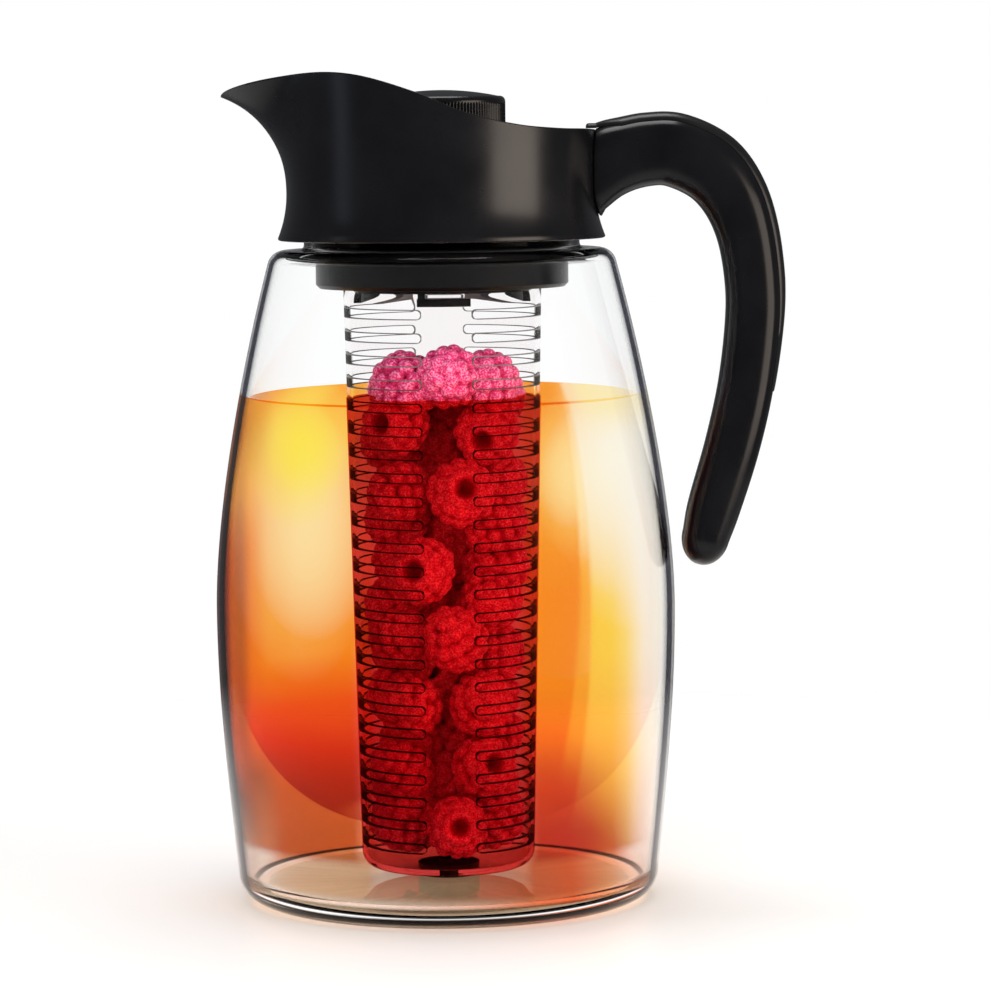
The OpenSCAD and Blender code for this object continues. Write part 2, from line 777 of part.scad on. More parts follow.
// Stem from the knob to the gate: pivot, square drive, flange, shaft and square key
module gate_stem() {
    ring_groove_r = stem_ring_mid_r - stem_ring_r;
    ring_groove_h = 2 * stem_ring_r + fixed_fit;
    color(dark_grey)
        difference() {
            union() {
                translate([0, 0, plug_z + running_fit])
                    cylinder(h = gate_z - plug_z, r = pivot_r);
                square_bar(drive_w, gate_z, gate_top_z + past / 2);
                translate([0, 0, gate_top_z])
                    cylinder(h = stem_flange_h, r = stem_flange_r);
                translate([0, 0, gate_top_z])
                    cylinder(h = hub_z - gate_top_z, r = stem_r);
                square_bar(key_w, hub_z - past / 2, stem_top_z);
            }
            translate([0, 0, stem_ring_z - ring_groove_h / 2])
                linear_extrude(ring_groove_h)
                    difference() {
                        circle(stem_r + past);
                        circle(ring_groove_r - fixed_fit / 4);
                    }
            translate([0, 0, screw_seat_z - screw_len - past])
                cylinder(h = screw_len + 2 * past, r = screw_r + fixed_fit / 3);
        }
}

// Outline of the gate with its pour windows and the square drive
module gate_plate(outer) {
    hole = drive_w + 2 * fixed_fit;
    difference() {
        circle(outer);
        pour_windows(90);
        square(hole, center = true);
    }
}

module gate_disc() {
    color(dark_grey)
        translate([0, 0, gate_disc_z])
            linear_extrude(gate_h)
                gate_plate(gate_r);
}

module gate_seal() {
    color(silicone_grey)
        translate([0, 0, gate_z])
            linear_extrude(gate_seal_h)
                gate_plate(window_out + 2 * window_land);
}

module stem_ring() {
    color(silicone_grey)
        rotate_extrude()
            translate([stem_ring_mid_r, stem_ring_z])
                circle(stem_ring_r);
}

// Infusion core

module core_wall_profile() {
    floor_z = core_z + core_wall;
    bottom = arc([core_bottom_r - core_round, core_z + core_round], core_round, -90, 0);
    inner_round = core_round - core_wall;
    inside = arc([core_bottom_r - core_round, core_z + core_round], inner_round, 0, -90);
    polygon(concat([[0, core_z]], bottom, [[core_top_r, core_top_z], [core_in_r, core_top_z]],
        inside, [[0, floor_z]]));
}

// Both columns of slots, as seen from the front
module slot_outline() {
    rows = floor((core_top_z - core_z - slot_first - core_round) / slot_pitch) + 1;
    reach = core_top_r + 2 * past;
    for (row = [0:rows - 1], side = [-1, 1])
        translate([0, core_top_z - slot_first - row * slot_pitch]) {
            translate([side * (land_w + slot_h) / 2, 0])
                circle(d = slot_h);
            translate([side * (land_w + slot_h + reach) / 2, 0])
                square([reach, slot_h], center = true);
        }
}

module infusion_core() {
    tab_ease = 1;
    tab_from = hook_clock + hook_stem + tab_ease;
    color(clear_plastic) {
        difference() {
            rotate_extrude()
                core_wall_profile();
            rotate([90, 0, core_clock])
                translate([0, 0, -core_top_r - past])
                    linear_extrude(2 * core_top_r + 2 * past)
                        slot_outline();
            translate([0, 0, core_z - past])
                cylinder(h = core_wall + 2 * past, r = foot_peg_r + fixed_fit);
        }
        translate([0, 0, tab_top_z - tab_h])
            linear_extrude(tab_h)
                for (i = [0:hooks - 1])
                    let (from = tab_from + i * 360 / hooks)
                        sector(hook_in_r + running_fit, core_in_r + core_wall / 2, from, from + tab_span);
    }
}

// Button foot pressed into the bottom of the core
module core_foot() {
    color(dark_grey)
        union() {
            translate([0, 0, core_z - foot_h])
                cylinder(h = foot_h, r = foot_r);
            translate([0, 0, core_z - foot_h / 2])
                cylinder(h = foot_h / 2 + core_wall, r = foot_peg_r);
        }
}

glass_jug();
spout_collar();
neck_ring();
neck_gasket();
handle_grip();
handle_spine();
lid_plug();
plug_seal();
lid_deck();
core_socket();
stem_bush();
knob_cap();
knob_insert();
knob_screw();
gate_stem();
gate_disc();
gate_seal();
stem_ring();
infusion_core();
core_foot();
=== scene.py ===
"""Looks of the iced tea pitcher: glass, black plastic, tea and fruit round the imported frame."""
import math
import random

import bpy
import numpy as np
from mathutils import Euler, Matrix, Vector


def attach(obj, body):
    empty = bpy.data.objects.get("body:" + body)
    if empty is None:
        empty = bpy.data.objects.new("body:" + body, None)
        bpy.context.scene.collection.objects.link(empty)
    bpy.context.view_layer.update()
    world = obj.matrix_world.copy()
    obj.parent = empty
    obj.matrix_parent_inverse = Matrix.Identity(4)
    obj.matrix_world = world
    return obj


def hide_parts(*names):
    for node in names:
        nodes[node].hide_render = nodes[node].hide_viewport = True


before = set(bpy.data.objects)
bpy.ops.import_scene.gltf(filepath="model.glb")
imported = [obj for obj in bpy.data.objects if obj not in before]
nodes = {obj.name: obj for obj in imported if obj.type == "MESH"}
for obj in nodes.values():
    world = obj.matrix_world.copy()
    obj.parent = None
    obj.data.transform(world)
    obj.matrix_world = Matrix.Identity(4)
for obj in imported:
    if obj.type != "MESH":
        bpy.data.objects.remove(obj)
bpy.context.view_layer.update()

MM = 0.001

# Sizes of the solids, in millimetres
HEEL_R = 68.5
HEEL_ROUND = 9.0
BELLY_R = 74.4
BELLY_Z = 95.0
SHOULDER_R = 56.4
SHOULDER_Z = 211.0
SHOULDER_ROUND = 5.5
SIDE_LEAN = 15.0
HEEL_SWELL = 2.8
NECK_R = 44.5
NECK_TOP_Z = 235.0
GLASS_WALL = 3.2
GLASS_FLOOR = 6.5
FLOOR_ROUND = 5.0
BEAD_R = 1.4
BEAD_Z = 224.0
COLLAR_Z = 214.2
COLLAR_WALL = 2.2
COLLAR_FLARE = 3.2
WAIST_UP = 15.0
WAIST_R = 49.9
RIM_UP = 34.7
RIM_RISE = 18.9
SPOUT_REACH = 21.1
SPOUT_SPREAD = 22.0
FINGER_GAP = 16.9
ROOT_OVER = 0.5
HANDLE_DROP = 118.3
GRIP_W = 22.0
GRIP_T = 18.0
ROOT_T = 28.4
TIP_LEN = 9.5
SPINE_W = 15.0
TONGUE_W = 8.0
SPINE_T = 1.4
SPINE_LAP = 3.0
CORE_TOP_R = 32.0
CORE_BOTTOM_R = 27.9
CORE_WALL = 1.8
CORE_ROUND = 5.0
CORE_Z = 10.4
CORE_TOP_Z = 198.2
SLOT_H = 2.8
SLOT_PITCH = 7.45
SLOT_FIRST = 7.4
LAND_W = 16.6
CORE_CLOCK = 3.0
KNOB_R = 21.0
KNOB_Z = 242.8
KNOB_TOP_Z = 260.0
KNOB_ROUND = 1.8
INSERT_R = 18.65
INSERT_Z = 258.4
DOME_H = 2.0
HUB_R = 7.5
HUB_Z = 243.4

# Contents, in millimetres
TEA_Z = 163.4
TEA_LAP = 0.15
MENISCUS_IN = 0.4
MENISCUS = [(0.0, 0.9), (0.7, 0.35), (2.2, 0.0)]
EGG_R = 73.5
EGG_Z = 125.0
EGG_DROP = 101.0
EGG_POWER = 2.9
EGG_TOP_Z = 100.0
EGG_GAP = 0.5
BERRY_TOP_Z = 172.0
BERRY_R = 11.6

# A tint that changes nothing
CLEAR = (1.0, 1.0, 1.0)


# Mesh helpers

def arc(centre, radius, start, end, count=8):
    """Points on an arc between two angles in degrees."""
    angles = np.radians(np.linspace(start, end, count + 1))
    return [np.array([centre[0] + radius * math.cos(a), centre[1] + radius * math.sin(a)]) for a in angles]


def bezier(points, count):
    """Points on a cubic curve."""
    p = [np.array(q, float) for q in points]
    run = []
    for t in np.linspace(0, 1, count + 1):
        s = 1 - t
        run.append(s**3 * p[0] + 3 * s * s * t * p[1] + 3 * s * t * t * p[2] + t**3 * p[3])
    return run


def through(rows, guide, t):
    """Point at place t on the smooth curve through the rows."""
    last = len(rows) - 1
    i = min(int(t), last - 1)
    f = t - i
    a = guide if i == 0 else rows[i - 1]
    b = rows[i]
    c = rows[i + 1]
    d = 2 * c - b if i + 2 > last else rows[i + 2]
    return 0.5 * (2 * b + (c - a) * f + (2 * a - 5 * b + 4 * c - d) * f**2 + (3 * b - a - 3 * c + d) * f**3)


def make_mesh(name, points, faces, materials):
    """A smooth mesh from points in millimetres."""
    mesh = bpy.data.meshes.new(name)
    mesh.from_pydata([tuple(np.array(p) * MM) for p in points], [], faces)
    mesh.validate()
    mesh.polygons.foreach_set("use_smooth", [True] * len(mesh.polygons))
    for material in materials:
        mesh.materials.append(material)
    return mesh


def add_object(name, data):
    """A new object in the scene."""
    made = bpy.data.objects.new(name, data)
    bpy.context.scene.collection.objects.link(made)
    return made


def make_piece(name, shape, body, materials, sharp):
    """A piece from points and faces, riding on a body, with edges past an angle left sharp."""
    mesh = make_mesh(name, *shape, materials)
    mesh.set_sharp_from_angle(angle=math.radians(sharp))
    piece = add_object(name, mesh)
    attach(piece, body)
    return piece


def lathe(profile, steps):
    """Points and faces of a profile of (radius, height) turned about the axis."""
    points = []
    rows = []
    for r, z in profile:
        if r < 1e-6:
            rows.append([len(points)] * steps)
            points.append((0.0, 0.0, z))
            continue
        rows.append(list(range(len(points), len(points) + steps)))
        for k in range(steps):
            a = 2 * math.pi * k / steps
            points.append((r * math.cos(a), r * math.sin(a), z))
    faces = []
    for low, high in zip(rows, rows[1:]):
        for k in range(steps):
            n = (k + 1) % steps
            corners = [low[k], low[n], high[n], high[k]]
            face = list(dict.fromkeys(corners))
            if len(face) > 2:
                faces.append(face)
    return points, faces


def skin(rings, closed=False):
    """Points and faces over rings of points, closed into a loop or with fans at the ends."""
    count = len(rings)
    sides = len(rings[0])
    points = [p for ring in rings for p in ring]
    faces = []
    for i in range(count if closed else count - 1):
        low = i * sides
        high = ((i + 1) % count) * sides
        for j in range(sides):
            k = (j + 1) % sides
            faces.append([low + j, low + k, high + k, high + j])
    if not closed:
        first = len(points)
        points.append(np.mean(rings[0], axis=0))
        points.append(np.mean(rings[-1], axis=0))
        top = (count - 1) * sides
        for j in range(sides):
            k = (j + 1) % sides
            faces.append([first, k, j])
            faces.append([first + 1, top + j, top + k])
    return points, faces


# Material helpers

class Shader:
    """A node material with one Principled shader."""

    def __init__(self, name):
        self.material = bpy.data.materials.new(name)
        self.material.use_nodes = True
        self.tree = self.material.node_tree
        self.main = self.tree.nodes["Principled BSDF"]
        self.output = self.tree.nodes["Material Output"]

    def node(self, kind, **values):
        made = self.tree.nodes.new(kind)
        for key, value in values.items():
            setattr(made, key, value)
        return made

    def link(self, source, target):
        self.tree.links.new(source, target)

    def set(self, **values):
        """Sets constants on the shader's own sockets."""
        for key, value in values.items():
            self.main.inputs[key.replace("_", " ")].default_value = value

    def feed(self, **sources):
        """Links varying values to the shader's own sockets."""
        for key, source in sources.items():
            self.link(source, self.main.inputs[key.replace("_", " ")])

    def place(self):
        """Place on the piece, in metres of its own frame."""
        return self.node("ShaderNodeTexCoord").outputs["Object"]

    def noise(self, scale, detail):
        """A noise value over the piece, with its scale in cycles a metre."""
        texture = self.node("ShaderNodeTexNoise")
        texture.inputs["Scale"].default_value = scale
        texture.inputs["Detail"].default_value = detail
        self.link(self.place(), texture.inputs["Vector"])
        return texture.outputs["Fac"]

    def ramp(self, source, stops):
        """Colours by a value: stops are (place, colour)."""
        ramp = self.node("ShaderNodeValToRGB")
        elements = ramp.color_ramp.elements
        while len(elements) < len(stops):
            elements.new(0.5)
        for element, (place, colour) in zip(elements, stops):
            element.position = place
            element.color = (*colour, 1.0)
        self.link(source, ramp.inputs["Fac"])
        return ramp.outputs["Color"]

    def between(self, source, low, high, to_low=0.0, to_high=1.0, interpolation="LINEAR"):
        """A value mapped from one range to another, by default 0 to 1."""
        mapped = self.node("ShaderNodeMapRange", interpolation_type=interpolation)
        mapped.inputs["From Min"].default_value = low
        mapped.inputs["From Max"].default_value = high
        mapped.inputs["To Min"].default_value = to_low
        mapped.inputs["To Max"].default_value = to_high
        self.link(source, mapped.inputs["Value"])
        return mapped.outputs["Result"]

    def ease(self, source, low, high, to_low=0.0, to_high=1.0):
        """A value mapped softly from one range to another."""
        return self.between(source, low, high, to_low, to_high, "SMOOTHSTEP")

    def bump(self, source, strength, distance):
        node = self.node("ShaderNodeBump")
        node.inputs["Strength"].default_value = strength
        node.inputs["Distance"].default_value = distance
        self.link(source, node.inputs["Height"])
        self.feed(Normal=node.outputs["Normal"])

    def facing(self):
        """How far the surface is seen edge on, from 0 to 1."""
        weight = self.node("ShaderNodeLayerWeight")
        weight.inputs["Blend"].default_value = 0.5
        return weight.outputs["Facing"]

    def distance(self):
        """Distance from the piece's own origin, in metres."""
        length = self.node("ShaderNodeVectorMath", operation="LENGTH")
        self.link(self.place(), length.inputs[0])
        return length.outputs["Value"]

    def places(self):
        """Places on the piece towards the handle, towards the back and up, in millimetres."""
        split = self.node("ShaderNodeSeparateXYZ")
        self.link(self.place(), split.inputs["Vector"])
        return [self.maths("DIVIDE", split.outputs[axis], MM) for axis in "XYZ"]

    def maths(self, operation, *values):
        """A sum on values, each one a socket or a number."""
        node = self.node("ShaderNodeMath", operation=operation)
        for slot, value in zip(node.inputs, values):
            if isinstance(value, (int, float)):
                slot.default_value = value
            else:
                self.link(value, slot)
        return node.outputs["Value"]

    def product(self, one, other):
        return self.maths("MULTIPLY", one, other)

    def blob(self, middle, reach):
        """A soft spot: 1 at its middle, falling to 0 at its reach across and up, in millimetres."""
        mapping = self.node("ShaderNodeMapping")
        mapping.inputs["Location"].default_value = (-middle[0] / reach[0], 0.0, -middle[1] / reach[1])
        mapping.inputs["Scale"].default_value = (1 / reach[0] / MM, 0.0, 1 / reach[1] / MM)
        self.link(self.place(), mapping.inputs["Vector"])
        spot = self.node("ShaderNodeTexGradient", gradient_type="SPHERICAL")
        self.link(mapping.outputs["Vector"], spot.inputs["Vector"])
        near = spot.outputs["Fac"]
        return self.product(near, self.maths("SUBTRACT", 2.0, near))

    def egg(self, side, up):
        """How far out a place is in the egg shape of the tea's painted shade: 1 at its edge."""
        across = self.maths("POWER", self.maths("DIVIDE", side, EGG_R), EGG_POWER)
        drop = self.maths("MAXIMUM", self.maths("SUBTRACT", EGG_Z, up), 0.0)
        down = self.maths("POWER", self.maths("DIVIDE", drop, EGG_DROP), EGG_POWER)
        return self.maths("POWER", self.maths("ADD", across, down), 1 / EGG_POWER)

    def blend(self, colour, other, share):
        """A colour blended towards another one, a socket or a constant, by a share."""
        mix = self.node("ShaderNodeMix", data_type="RGBA")
        sockets = {s.identifier: s for s in mix.inputs}
        self.link(share, sockets["Factor_Float"])
        self.link(colour, sockets["A_Color"])
        if isinstance(other, tuple):
            sockets["B_Color"].default_value = (*other, 1.0)
        else:
            self.link(other, sockets["B_Color"])
        return {s.identifier: s for s in mix.outputs}["Result_Color"]

    def show_through(self, share, tint):
        """Lets a share of what is behind the surface show, tinted."""
        clear = self.node("ShaderNodeBsdfTransparent")
        clear.inputs["Color"].default_value = (*tint, 1.0)
        mix = self.node("ShaderNodeMixShader")
        self.link(share, mix.inputs["Fac"])
        self.link(self.main.outputs["BSDF"], mix.inputs[1])
        self.link(clear.outputs["BSDF"], mix.inputs[2])
        self.link(mix.outputs["Shader"], self.output.inputs["Surface"])

    def let_lamps_through(self, tint):
        """Lets lamp light pass, tinted, so that what is inside is lit."""
        self.show_through(self.node("ShaderNodeLightPath").outputs["Is Shadow Ray"], tint)


def black_plastic(name, colour, roughness, grain, gloss=0.25):
    """Moulded black plastic: faint cloudy gloss and a fine grain."""
    s = Shader(name)
    s.set(Specular_IOR_Level=gloss)
    cloud = s.noise(45.0, 4.0)
    dark = tuple(0.75 * c for c in colour)
    light = tuple(1.3 * c for c in colour)
    s.feed(Base_Color=s.ramp(cloud, [(0.3, dark), (0.7, light)]))
    s.feed(Roughness=s.between(cloud, 0.3, 0.7, roughness - 0.04, roughness + 0.05))
    s.bump(s.noise(2600.0, 2.0), grain, 0.00004)
    return s.material


# Painted shade: a dark band at the heel of the glass: heights where it starts, is full, starts to fade and
# ends
HEEL_SHADE_BAND = (1.2, 2.2, 3.8, 4.8)
# Heights above the shoulder between which the neck glass is painted dark, as painted shade where the black
# ring shows through
NECK_SHADE_FADE = (0.1, 0.7)


def clear_glass(name, tints):
    """Polished clear glass, faintly wavy, tinted by how far it is seen edge on, with painted shade: a dark
    band at the heel and a dark neck.
    """
    s = Shader(name)
    s.set(Transmission_Weight=1.0, IOR=1.3, Roughness=0.0, Specular_Tint=(0.02, 0.02, 0.02, 1.0))
    z = s.places()[2]
    start, full, fading, end = HEEL_SHADE_BAND
    # Painted shade: a near black band low on the heel of the clear glass
    heel_shade = s.product(s.ease(z, end, fading), s.ease(z, start, full))
    # Painted shade: the neck glass is painted near black above the shoulder
    neck = s.ease(z, SHOULDER_Z + NECK_SHADE_FADE[0], SHOULDER_Z + NECK_SHADE_FADE[1], 0.0, 0.96)
    colour = s.blend(s.ramp(s.facing(), tints), (0.0008, 0.0005, 0.0005), heel_shade)
    colour = s.blend(colour, (0.01, 0.01, 0.012), neck)
    s.feed(Base_Color=colour)
    s.bump(s.noise(18.0, 1.0), 0.03, 0.0008)
    s.let_lamps_through((0.94, 0.95, 0.95))
    return s.material


def clear_plastic():
    """Clear moulded plastic of the core. Most of it stands in tea, so it bends light little."""
    s = Shader("clear_core")
    s.set(Base_Color=(0.97, 0.95, 0.95, 1.0), Transmission_Weight=1.0, IOR=1.03, Roughness=0.0,
          Specular_Tint=(0.2, 0.2, 0.2, 1.0))
    s.bump(s.noise(60.0, 1.0), 0.04, 0.0004)
    s.let_lamps_through((0.96, 0.95, 0.95))
    return s.material


def slot_edge():
    """Cut edges of the core's slots, painted near black as painted shade, and painted grey above the tea.
    """
    s = Shader("core_slot_edge_shade")
    s.set(Roughness=0.4, Specular_IOR_Level=0.2)
    dark = s.ramp(s.noise(300.0, 2.0), [(0.3, (0.004, 0.002, 0.002)), (0.7, (0.01, 0.005, 0.005))])
    grey_from = TEA_Z + 0.6
    grey_full = TEA_Z + 8.6
    above_tea = s.ease(s.places()[2], grey_from, grey_full)
    # Painted shade: near black edges in the tea, painted grey above it
    s.feed(Base_Color=s.blend(dark, (0.16, 0.16, 0.17), above_tea))
    s.let_lamps_through((0.6, 0.5, 0.5))
    return s.material


def slot_painted_shade():
    """Painted shade in the core's slots: a sheet, clear from the front and dark where it is seen edge on.
    """
    s = Shader("core_slot_painted_shade")
    s.set(Base_Color=(0.004, 0.002, 0.002, 1.0), Roughness=0.5, Specular_IOR_Level=0.1)
    dark_from = 0.62
    dark_full = 0.7
    s.feed(Alpha=s.ease(s.facing(), dark_from, dark_full))
    return s.material


def liquid(name):
    """A clear liquid that bends no light, as in the photograph."""
    s = Shader(name)
    s.set(Transmission_Weight=1.0, IOR=1.0, Roughness=0.0)
    return s


# Tints of the tea by height: red low down and amber above
TEA_TINTS = [
    (0.06, (0.48, 0.09, 0.02)), (0.106, (0.48, 0.08, 0.018)), (0.18, (0.58, 0.09, 0.018)),
    (0.276, (0.84, 0.11, 0.016)), (0.37, (0.92, 0.26, 0.014)), (0.64, (0.93, 0.25, 0.014)),
    (0.735, (0.94, 0.34, 0.03)), (0.82, (0.96, 0.48, 0.08)), (0.91, (0.97, 0.40, 0.05)),
    (0.97, (0.93, 0.32, 0.03))]
# Painted shade at the heel: browner tints by height
HEEL_SHADE_TINTS = [
    (0.0, (0.62, 0.40, 0.28)), (0.08, (0.34, 0.15, 0.08)), (0.16, (0.17, 0.05, 0.025)),
    (0.3, (0.22, 0.12, 0.09))]
# Painted light at the foot: tints from the spout side to the handle side
FOOT_LIGHT_TINTS = [
    (0.0, (1.0, 0.98, 0.96)), (0.35, (1.0, 0.93, 0.90)), (0.55, (0.92, 0.68, 0.58)),
    (0.7, (0.84, 0.30, 0.16)), (0.8, (0.92, 0.22, 0.09)), (0.88, (0.96, 0.48, 0.28)),
    (1.0, (1.0, 0.92, 0.85))]
# Painted glows of light beside the core: middle across and up, reach across and up, tint and strength
PAINTED_GLOWS = [
    ((-45, 122), (23, 45), (1.0, 0.78, 0.38), 0.92), ((-46, 147), (16, 22), (1.0, 0.80, 0.06), 0.9),
    ((42, 138), (13, 24), (1.0, 0.80, 0.38), 0.75)]
# The line past which the tea is painted bright towards the handle, bowed about a height
BOW_X = 44.5
BOW_FADE = 2.0
BOW_Z = 100.0
BOW_SPAN = 65.0
BOW_DEPTH = 6.4


def tea_painted_glows(s, colour, x, z):
    """Tea with painted glows of light beside the core, and painted bright past a bowed line towards the
    handle.
    """
    for middle, reach, tint, strength in PAINTED_GLOWS:
        colour = s.blend(colour, tint, s.product(s.blob(middle, reach), strength))
    climb = s.maths("DIVIDE", s.maths("SUBTRACT", z, BOW_Z), BOW_SPAN)
    bow = s.product(s.product(climb, climb), BOW_DEPTH)
    past_bow = s.ease(s.maths("ADD", x, bow), BOW_X, BOW_X + BOW_FADE)
    # Painted light past the bowed line: a gold glow, a pale one higher up, and brighter tea at the top
    # towards the handle
    painted_gold_glow = s.product(s.blob((58, 86), (32, 76)), 0.95)
    colour = s.blend(colour, (1.0, 0.66, 0.08), s.product(past_bow, painted_gold_glow))
    colour = s.blend(colour, (1.0, 0.95, 0.80), s.product(past_bow, s.blob((59, 147), (27, 56))))
    top_right_glow = s.product(s.ease(x, 35.0, 48.0, 0.0, 0.7), s.ease(z, 150.0, 162.0))
    return s.blend(colour, (1.0, 0.84, 0.38), top_right_glow)


def tea_painted_shades(s, colour, x, z):
    """Painted shade in the tea: deeper at the spout side and low beside the core."""
    left_rim_shade = s.product(s.ease(x, -60.0, -68.0, 0.0, 0.85), s.ease(z, 138.0, 110.0))
    colour = s.blend(colour, (0.80, 0.10, 0.015), left_rim_shade)
    high_left_shade = s.product(s.ease(x, -56.0, -66.0, 0.0, 0.85), s.ease(z, 130.0, 156.0))
    colour = s.blend(colour, (0.50, 0.10, 0.02), high_left_shade)
    by_core_shade = s.product(s.ease(x, 15.0, 30.0, 0.0, 0.8), s.ease(x, 62.0, 42.0))
    return s.blend(colour, (0.46, 0.02, 0.017), s.product(by_core_shade, s.ease(z, 46.0, 26.0)))


def tea_side_light_and_shade(s, colour, x, side):
    """Tea with painted light at the handle side's edge, where it is clear, painted shade at the spout
    side's edge, and paler in front of the core.
    """
    colour = s.blend(colour, (1.0, 0.98, 0.95), s.ease(x, 55.0, 68.0, 0.0, 0.97))
    colour = s.blend(colour, (0.12, 0.03, 0.03), s.ease(x, -65.5, -69.5, 0.0, 0.9))
    return s.blend(colour, (1.0, 0.5, 0.4), s.ease(side, 24.0, 29.0, 0.75, 0.0))


def tea_foot_light(s, colour, x, y, z):
    """Painted light in the tea at the foot: pale, standing in for the floor of the jug seen through it."""
    foot = s.ramp(s.between(x, -65.0, 65.0), FOOT_LIGHT_TINTS)
    in_front = s.product(s.ease(y, -12.0, -34.0), s.ease(z, 23.0, 19.0))
    under = s.between(z, GLASS_FLOOR + 0.3, GLASS_FLOOR)
    return s.blend(colour, foot, s.maths("MAXIMUM", in_front, under))


def tea():
    """Amber tea with painted light and shade in its colour: red low down, painted glows beside the core and
    towards the handle, painted shade at the spout side."""
    s = liquid("amber_tea")
    x, y, z = s.places()
    side = s.maths("ABSOLUTE", x)
    # The red reaches less high towards the handle
    lower = s.ease(x, -20.0, 20.0, 0.0, 14.0)
    height = s.between(s.maths("ADD", z, lower), 10.0, 180.0)
    colour = tea_painted_glows(s, s.ramp(height, TEA_TINTS), x, z)
    colour = tea_painted_shades(s, colour, x, z)
    # Painted shade at the heel: brown, outside the egg of painted shade in the tea
    outside = s.between(s.egg(side, z), 1.03, 1.12)
    outside = s.product(outside, s.ease(side, 56.0, 64.0))
    outside = s.product(outside, s.ease(x, -25.0, 25.0, 1.0, 0.1))
    colour = s.blend(colour, s.ramp(height, HEEL_SHADE_TINTS), outside)
    colour = tea_side_light_and_shade(s, colour, x, side)
    s.feed(Base_Color=tea_foot_light(s, colour, x, y, z))
    s.let_lamps_through((1.0, 0.88, 0.7))
    return s.material


def deep_tea_shade():
    """Painted shade in the tea: a redder egg whose round lower end shows as an edge. Clear higher up, round
    the core and towards the handle."""
    s = liquid("deep_tea_shade")
    x, y, z = s.places()
    colour = s.ramp(s.between(z, 35.0, 90.0), [
        (0.0, (0.62, 0.20, 0.34)), (0.4, (0.92, 0.30, 0.42)), (0.7, (1.0, 0.84, 0.86)), (0.91, CLEAR)])
    colour = s.blend(colour, CLEAR, s.ease(x, -25.0, 25.0, 0.0, 0.75))
    out = s.maths("SQRT", s.maths("ADD", s.product(x, x), s.product(y, y)))
    colour = s.blend(colour, CLEAR, s.ease(out, 37.0, 31.0))
    s.feed(Base_Color=colour)
    s.let_lamps_through((1.0, 0.9, 0.9))
    return s.material


def infusion():
    """Red fruit infusion that hangs in the tea inside the core."""
    s = liquid("red_infusion")
    cloud = s.noise(55.0, 3.0)
    colour = s.ramp(cloud, [(0.3, (0.42, 0.05, 0.055)), (0.7, (0.74, 0.085, 0.095))])
    s.feed(Base_Color=colour)
    s.let_lamps_through((0.6, 0.26, 0.26))
    return s.material


def berry_skin():
    """Soft raspberry skin with a fine downy grain, painted shade in its crevices and hollow and painted
    highlights at the drupelets' tips.
    """
    s = Shader("raspberry")
    s.set(Roughness=0.5, Specular_IOR_Level=0.35)
    # Painted shade towards the berry's middle, in its crevices and hollow, and painted highlights at the
    # drupelets' tips, with tone that differs at random
    out = s.between(s.distance(), 8.0 * MM, 10.4 * MM, 0.0, 0.75)
    tone_shade_and_highlight = s.maths("ADD", out, s.between(s.noise(1500.0, 5.0), 0.35, 0.65, -0.2, 0.3))
    colour = s.ramp(tone_shade_and_highlight, [
        (0.1, (0.26, 0.005, 0.03)), (0.45, (0.50, 0.01, 0.09)), (0.75, (0.76, 0.035, 0.2)),
        (1.0, (0.98, 0.32, 0.55))])
    s.feed(Base_Color=colour)
    s.bump(s.noise(2200.0, 4.0), 0.8, 0.0005)
    return s.material


def plain(name, colour, roughness, metallic=0.0):
    """A smaller part's finish, with a faint uneven gloss and grain."""
    s = Shader(name)
    s.set(Metallic=metallic, Specular_IOR_Level=0.4)
    cloud = s.noise(120.0, 3.0)
    dark = tuple(0.85 * c for c in colour)
    s.feed(Base_Color=s.ramp(cloud, [(0.3, dark), (0.7, colour)]))
    s.feed(Roughness=s.between(cloud, 0.3, 0.7, roughness - 0.05, roughness + 0.05))
    s.bump(s.noise(1800.0, 2.0), 0.15, 0.00005)
    return s.material


BLACK = (0.004, 0.004, 0.005)
gloss_black = black_plastic("gloss_black", BLACK, 0.25, 0.04)
grip_black = black_plastic("grip_black", BLACK, 0.22, 0.04, 0.16)
plug_black = black_plastic("plug_black", (0.002, 0.002, 0.0025), 0.3, 0.04, 0.12)
spine_black = black_plastic("spine_black", (0.006, 0.006, 0.007), 0.32, 0.08)
# Painted shade: the glass is painted near black where it is seen nearly edge on, a dark line along its
# sides, and lighter again at the very edge
glass = clear_glass("jug_glass", [
    (0.0, (0.995, 1.0, 1.0)), (0.67, (0.985, 0.99, 0.99)), (0.75, (0.002, 0.002, 0.004)),
    (0.845, (0.002, 0.002, 0.004)), (0.885, (0.6, 0.6, 0.62)), (1.0, (0.85, 0.86, 0.87))])
glass_within = clear_glass("jug_glass_within", [(0.0, (0.995, 1.0, 1.0)), (1.0, (0.97, 0.98, 0.98))])
core_clear = clear_plastic()
core_edge_shade = slot_edge()
core_painted_shade = slot_painted_shade()
tea_colour = tea()
deep_shade_colour = deep_tea_shade()
red_infusion = infusion()
berry = berry_skin()
bush_grey = plain("bush_grey", (0.10, 0.10, 0.11), 0.5)
silicone = plain("silicone", (0.42, 0.43, 0.45), 0.6)
steel = plain("screw_steel", (0.62, 0.62, 0.63), 0.3, metallic=1.0)


# Glass jug and tea

# Where the curves of the jug's side are steered, as shares of their climb
HEEL_PULL = 0.31
LOW_BELLY_PULL = 0.35
HIGH_BELLY_PULL = 0.27
SHOULDER_PULL = 0.32


